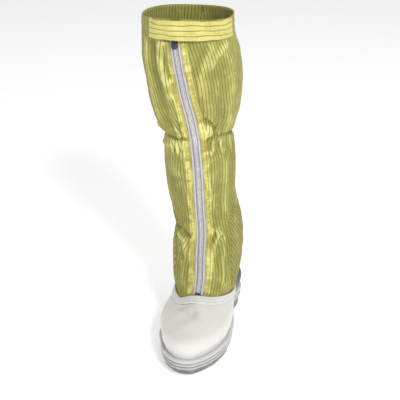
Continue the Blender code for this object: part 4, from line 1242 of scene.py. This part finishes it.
def cloth_run(spots, out):
    """A run through spots given in mm on the cloth's map, resampled to short steps."""
    spots = np.array(spots, float)
    far = np.concatenate([[0], np.cumsum(np.hypot(*np.diff(spots, axis=0).T))])
    fine = smooth(far, spots, np.linspace(0, far[-1], int(far[-1] / 2.5) + 2))
    points, outs = [], []
    for s, z in fine:
        a, v = cloth_spot(s, z)
        patch, normal, *rest = cloth_sheet(np.array([a - 0.01, a, a + 0.01]),
                                           np.clip(np.array([v - 0.02, v, v + 0.02]), 0, TOP_ROW), out)
        points.append(patch[1, 1])
        outs.append(normal[1, 1])
    return np.array(points), np.array(outs)


stitch_out = FACING_OUT + 0.62 * MM
runs = [cloth_column(sign * near(line * MM), np.linspace(2.05, 14.85, 360), stitch_out)
        for sign in (1, -1) for line in FACING_ROWS]
repeat("facing_stitches", runs, 3.1 * MM, stitch(2.6 * MM), 0.3 * MM, YELLOW_THREAD)

heel_edge = [(d + 3.4, z) for z, d in HEEL_SEAM[:5]] + [(64.0, 184.0)]
runs = [cloth_run([(sign * d, z) for d, z in heel_edge], 0.1 * MM) for sign in (1, -1)]
for line in (-3.2, 3.2):
    at_back = math.pi - abs(line) / HALF_GIRTH * math.pi
    runs.append(cloth_column(math.copysign(at_back, line), np.linspace(2.1, 15.9, 240), 0.1 * MM))
hem_angles = np.linspace(0.36, math.pi, 90)
for part in (hem_angles, -hem_angles[::-1]):
    patch, normal, *rest = cloth_sheet(part, np.array([15.53, 15.56, 15.59]), 0.35 * MM)
    runs.append((patch[1], normal[1]))
repeat("shaft_stitches", runs, 3.1 * MM, stitch(2.5 * MM), 0.24 * MM, CLOTH_THREAD)

# %% Stitches of the leather: two zigzag rows in the binding, one row in each end of the counter
t_loop = np.append(t_band, 2 * math.pi)
runs = [(upper_out(t_loop, band_row(t_loop, v), GAP + OVERLAY - 0.22 * MM),
         upper_normal(t_loop, band_row(t_loop, v))) for v in BINDING_STITCH_ROWS]
repeat("binding_stitches", runs, 1.9 * MM, stitch(2.1 * MM), 0.24 * MM, WHITE_THREAD,
       zigzag=0.55)
v_run = np.linspace(1.35, 5.7, 60)
runs = []
for sign in (1, -1):
    t_run = np.full_like(v_run, math.pi + sign * COUNTER_HALF * (1 - COUNTER_STITCH))
    outer, normal, t, v = upper_sheet(t_run[:1], v_run, COUNTER_OUT + OVERLAY - 0.2 * MM)
    runs.append((outer[:, 0], normal[:, 0]))
repeat("counter_stitches", runs, 2.8 * MM, stitch(2.3 * MM), 0.26 * MM, BLACK_THREAD)

# %% Metal and felt: the slider, the stop, the tab and the insole keep their solids
for name in ("zip_slider", "zip_bottom_stop", "zip_pull_tab", "insole"):
    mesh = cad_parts[name].data
    for k in range(len(mesh.materials)):
        mesh.materials[k] = INSOLE if name == "insole" else DARK_METAL

# %% [markdown]
# ## The strap
#
# The strap is sewn down at its outer end and lies loose over the zip, held by a box stitch at its
# other end. It is a doubled strip of the same cloth, turned so that its stripes run along it. It
# stands off the shaft in its middle, as the solid does.

# %% Strap
STRAP_LATERAL, STRAP_MEDIAL = 0.64, 1.42
BOX_STITCH = 9.0
high = STRAP_WIDTH / MM
a_strap = np.linspace(-STRAP_LATERAL, STRAP_MEDIAL, 181)
v_strap = np.linspace(STRAP_LOW_ROW, TOP_ROW, 33)
grid, normal, s, z, back, off = cloth_sheet(a_strap, v_strap, GAP, folds=0.25)
a, v = np.meshgrid(a_strap, v_strap)
strap_reach = np.where(a < 0, STRAP_LATERAL, STRAP_MEDIAL)
stand = ramp((strap_reach - np.abs(a)) / (strap_reach - 0.3), 0, 1) * STRAP_STAND_OFF / MM
across = (v - STRAP_LOW_ROW) / (TOP_ROW - STRAP_LOW_ROW)
wave = 0.5 * np.sin(s / 9.0) * (1 - across) + 0.35 * np.sin(s / 5.3 + 1.0) * across
stand = stand + wave * ramp(stand, 1.0, 5.0)
from_end = np.minimum(s - s[:, :1], s[:, -1:] - s)
edge = np.minimum(np.minimum(across, 1 - across) * high, from_end)
thick = STRAP_THICK / MM * (0.3 + 0.7 * np.sqrt(ramp(edge, 0, 1.6)))
thick = thick + 0.18 * np.sin(s * 2 * math.pi / 5.2) * bell(edge, 2.0, 1.2)
thick = thick - 0.35 * bell(edge, 3.0, 0.5)
tail = s[:, -1:] - s
thick = thick - 0.4 * bell(tail, BOX_STITCH, 0.6)
thick = thick - 0.3 * np.exp(-((across - 0.34) * high / 0.6)**2)
inside = grid + normal * (stand * MM)[..., None]
points, faces = walled(inside + normal * (thick * MM)[..., None], inside[::2, ::2])
thread_wave = 0.6 * np.sin(s / 11.0 + 3 * across) + 0.35 * np.sin(s / 4.7 + 7 * across)
# The last value follows the strap's waves and thickness: raised parts painted lighter, pressed stitch
# lines darker, as painted highlights and painted shade.
lay = np.stack([across * high + 0.4 + thread_wave, s, 0.6 + 0.5 * wave + 1.5 * (thick - 1.8)], axis=-1)
strap = piece("collar_strap_cloth", points, faces, STRAP, lay=both(lay))
top = (inside + normal * (thick * MM - 0.1 * MM)[..., None], normal)
first_row, last_row = 3, len(v_strap) - 4
box_from = int(np.argmin(np.abs(tail[0] - BOX_STITCH)))
runs = [tuple(part[row, 2:-2] for part in top) for row in (first_row, last_row)]
runs += [tuple(part[first_row:last_row + 1, column] for part in top)
         for column in (box_from, len(a_strap) - 4, 4)]
cross = np.linspace(0, 1, 15)
for up in (1, -1):
    rows = np.round(first_row + (last_row - first_row) * (cross if up > 0 else 1 - cross)).astype(int)
    cols = np.round(box_from + (len(a_strap) - 4 - box_from) * cross).astype(int)
    runs.append(tuple(part[rows, cols] for part in top))
repeat("strap_stitches", runs, 3.0 * MM, stitch(2.5 * MM), 0.28 * MM, YELLOW_THREAD)
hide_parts("collar_strap")
print("strap", len(strap.data.polygons), "faces")

# %% [markdown]
# ## The picture
#
# The floor is plain and pale, the lights are large and soft, and the camera stands where the
# photographer stood: to the inner side of the boot's front and well above it. The floor and the
# lights are not part of the boot, so they are left unattached.

# %% Floor
floor_mesh = bpy.data.meshes.new("floor")
floor_mesh.from_pydata([(-6, -6, 0), (6, -6, 0), (6, 6, 0), (-6, 6, 0)], [], [(0, 1, 2, 3)])
floor = linked("floor", floor_mesh)
floor_mat, floor_shader = new_material("pale_floor", 0.9)[:2]
floor_shader.inputs["Base Color"].default_value = (0.93, 0.93, 0.93, 1.0)
floor_shader.inputs["Emission Color"].default_value = (1.0, 1.0, 1.0, 1.0)
floor_shader.inputs["Emission Strength"].default_value = 0.40
floor_mesh.materials.append(floor_mat)

# %% Camera
AZIMUTH, DISTANCE, EYE_HEIGHT, PITCH = 14.5, 1.72, 0.93, 23.5  # degrees and metres
angle, pitch = math.radians(AZIMUTH), math.radians(PITCH)
camera = linked("camera", bpy.data.cameras.new("camera"))
camera.location = (DISTANCE * math.sin(angle), -0.04 - DISTANCE * math.cos(angle), EYE_HEIGHT)
camera.rotation_euler = (math.pi / 2 - pitch, 0.0, angle)
camera.data.sensor_width = 36.0
camera.data.lens = 112.95
camera.data.shift_x = -0.0325
camera.data.shift_y = 0.02
bpy.context.scene.camera = camera


# %% Lights
def softbox(name, place, size, power, aim):
    lamp = linked(name, bpy.data.lights.new(name, "AREA"))
    lamp.data.shape = "DISK"
    lamp.data.size = size
    lamp.data.energy = power
    lamp.data.color = (1.0, 1.0, 1.0)
    lamp.location = place
    way = np.array(aim) - np.array(place)
    flat = math.hypot(way[0], way[1])
    lamp.rotation_euler = (math.pi / 2 + math.atan2(way[2], flat), 0.0, math.atan2(-way[0], way[1]))


softbox("key", (1.2, -1.8, 1.9), 0.5, 36.0, (0.0, -0.06, 0.2))
softbox("fill", (-1.5, -1.5, 1.1), 1.2, 2.8, (0.0, -0.05, 0.2))
softbox("top", (0.1, 0.3, 2.2), 1.4, 12.0, (0.0, -0.05, 0.2))
world = bpy.data.worlds.new("studio")
bpy.context.scene.world = world
world.use_nodes = True
sky = Wire(world.node_tree, None)
rise = split(sky.put("ShaderNodeTexCoord", {}, out=0))[2]
sky_colour = mix(rise.between(0.12, 0.5), (1.0, 1.0, 1.0), (0.27, 0.27, 0.275))
world.node_tree.links.new(sky_colour.socket, world.node_tree.nodes["Background"].inputs["Color"])
world.node_tree.nodes["Background"].inputs["Strength"].default_value = 1.0
bpy.context.scene.view_settings.view_transform = "Standard"
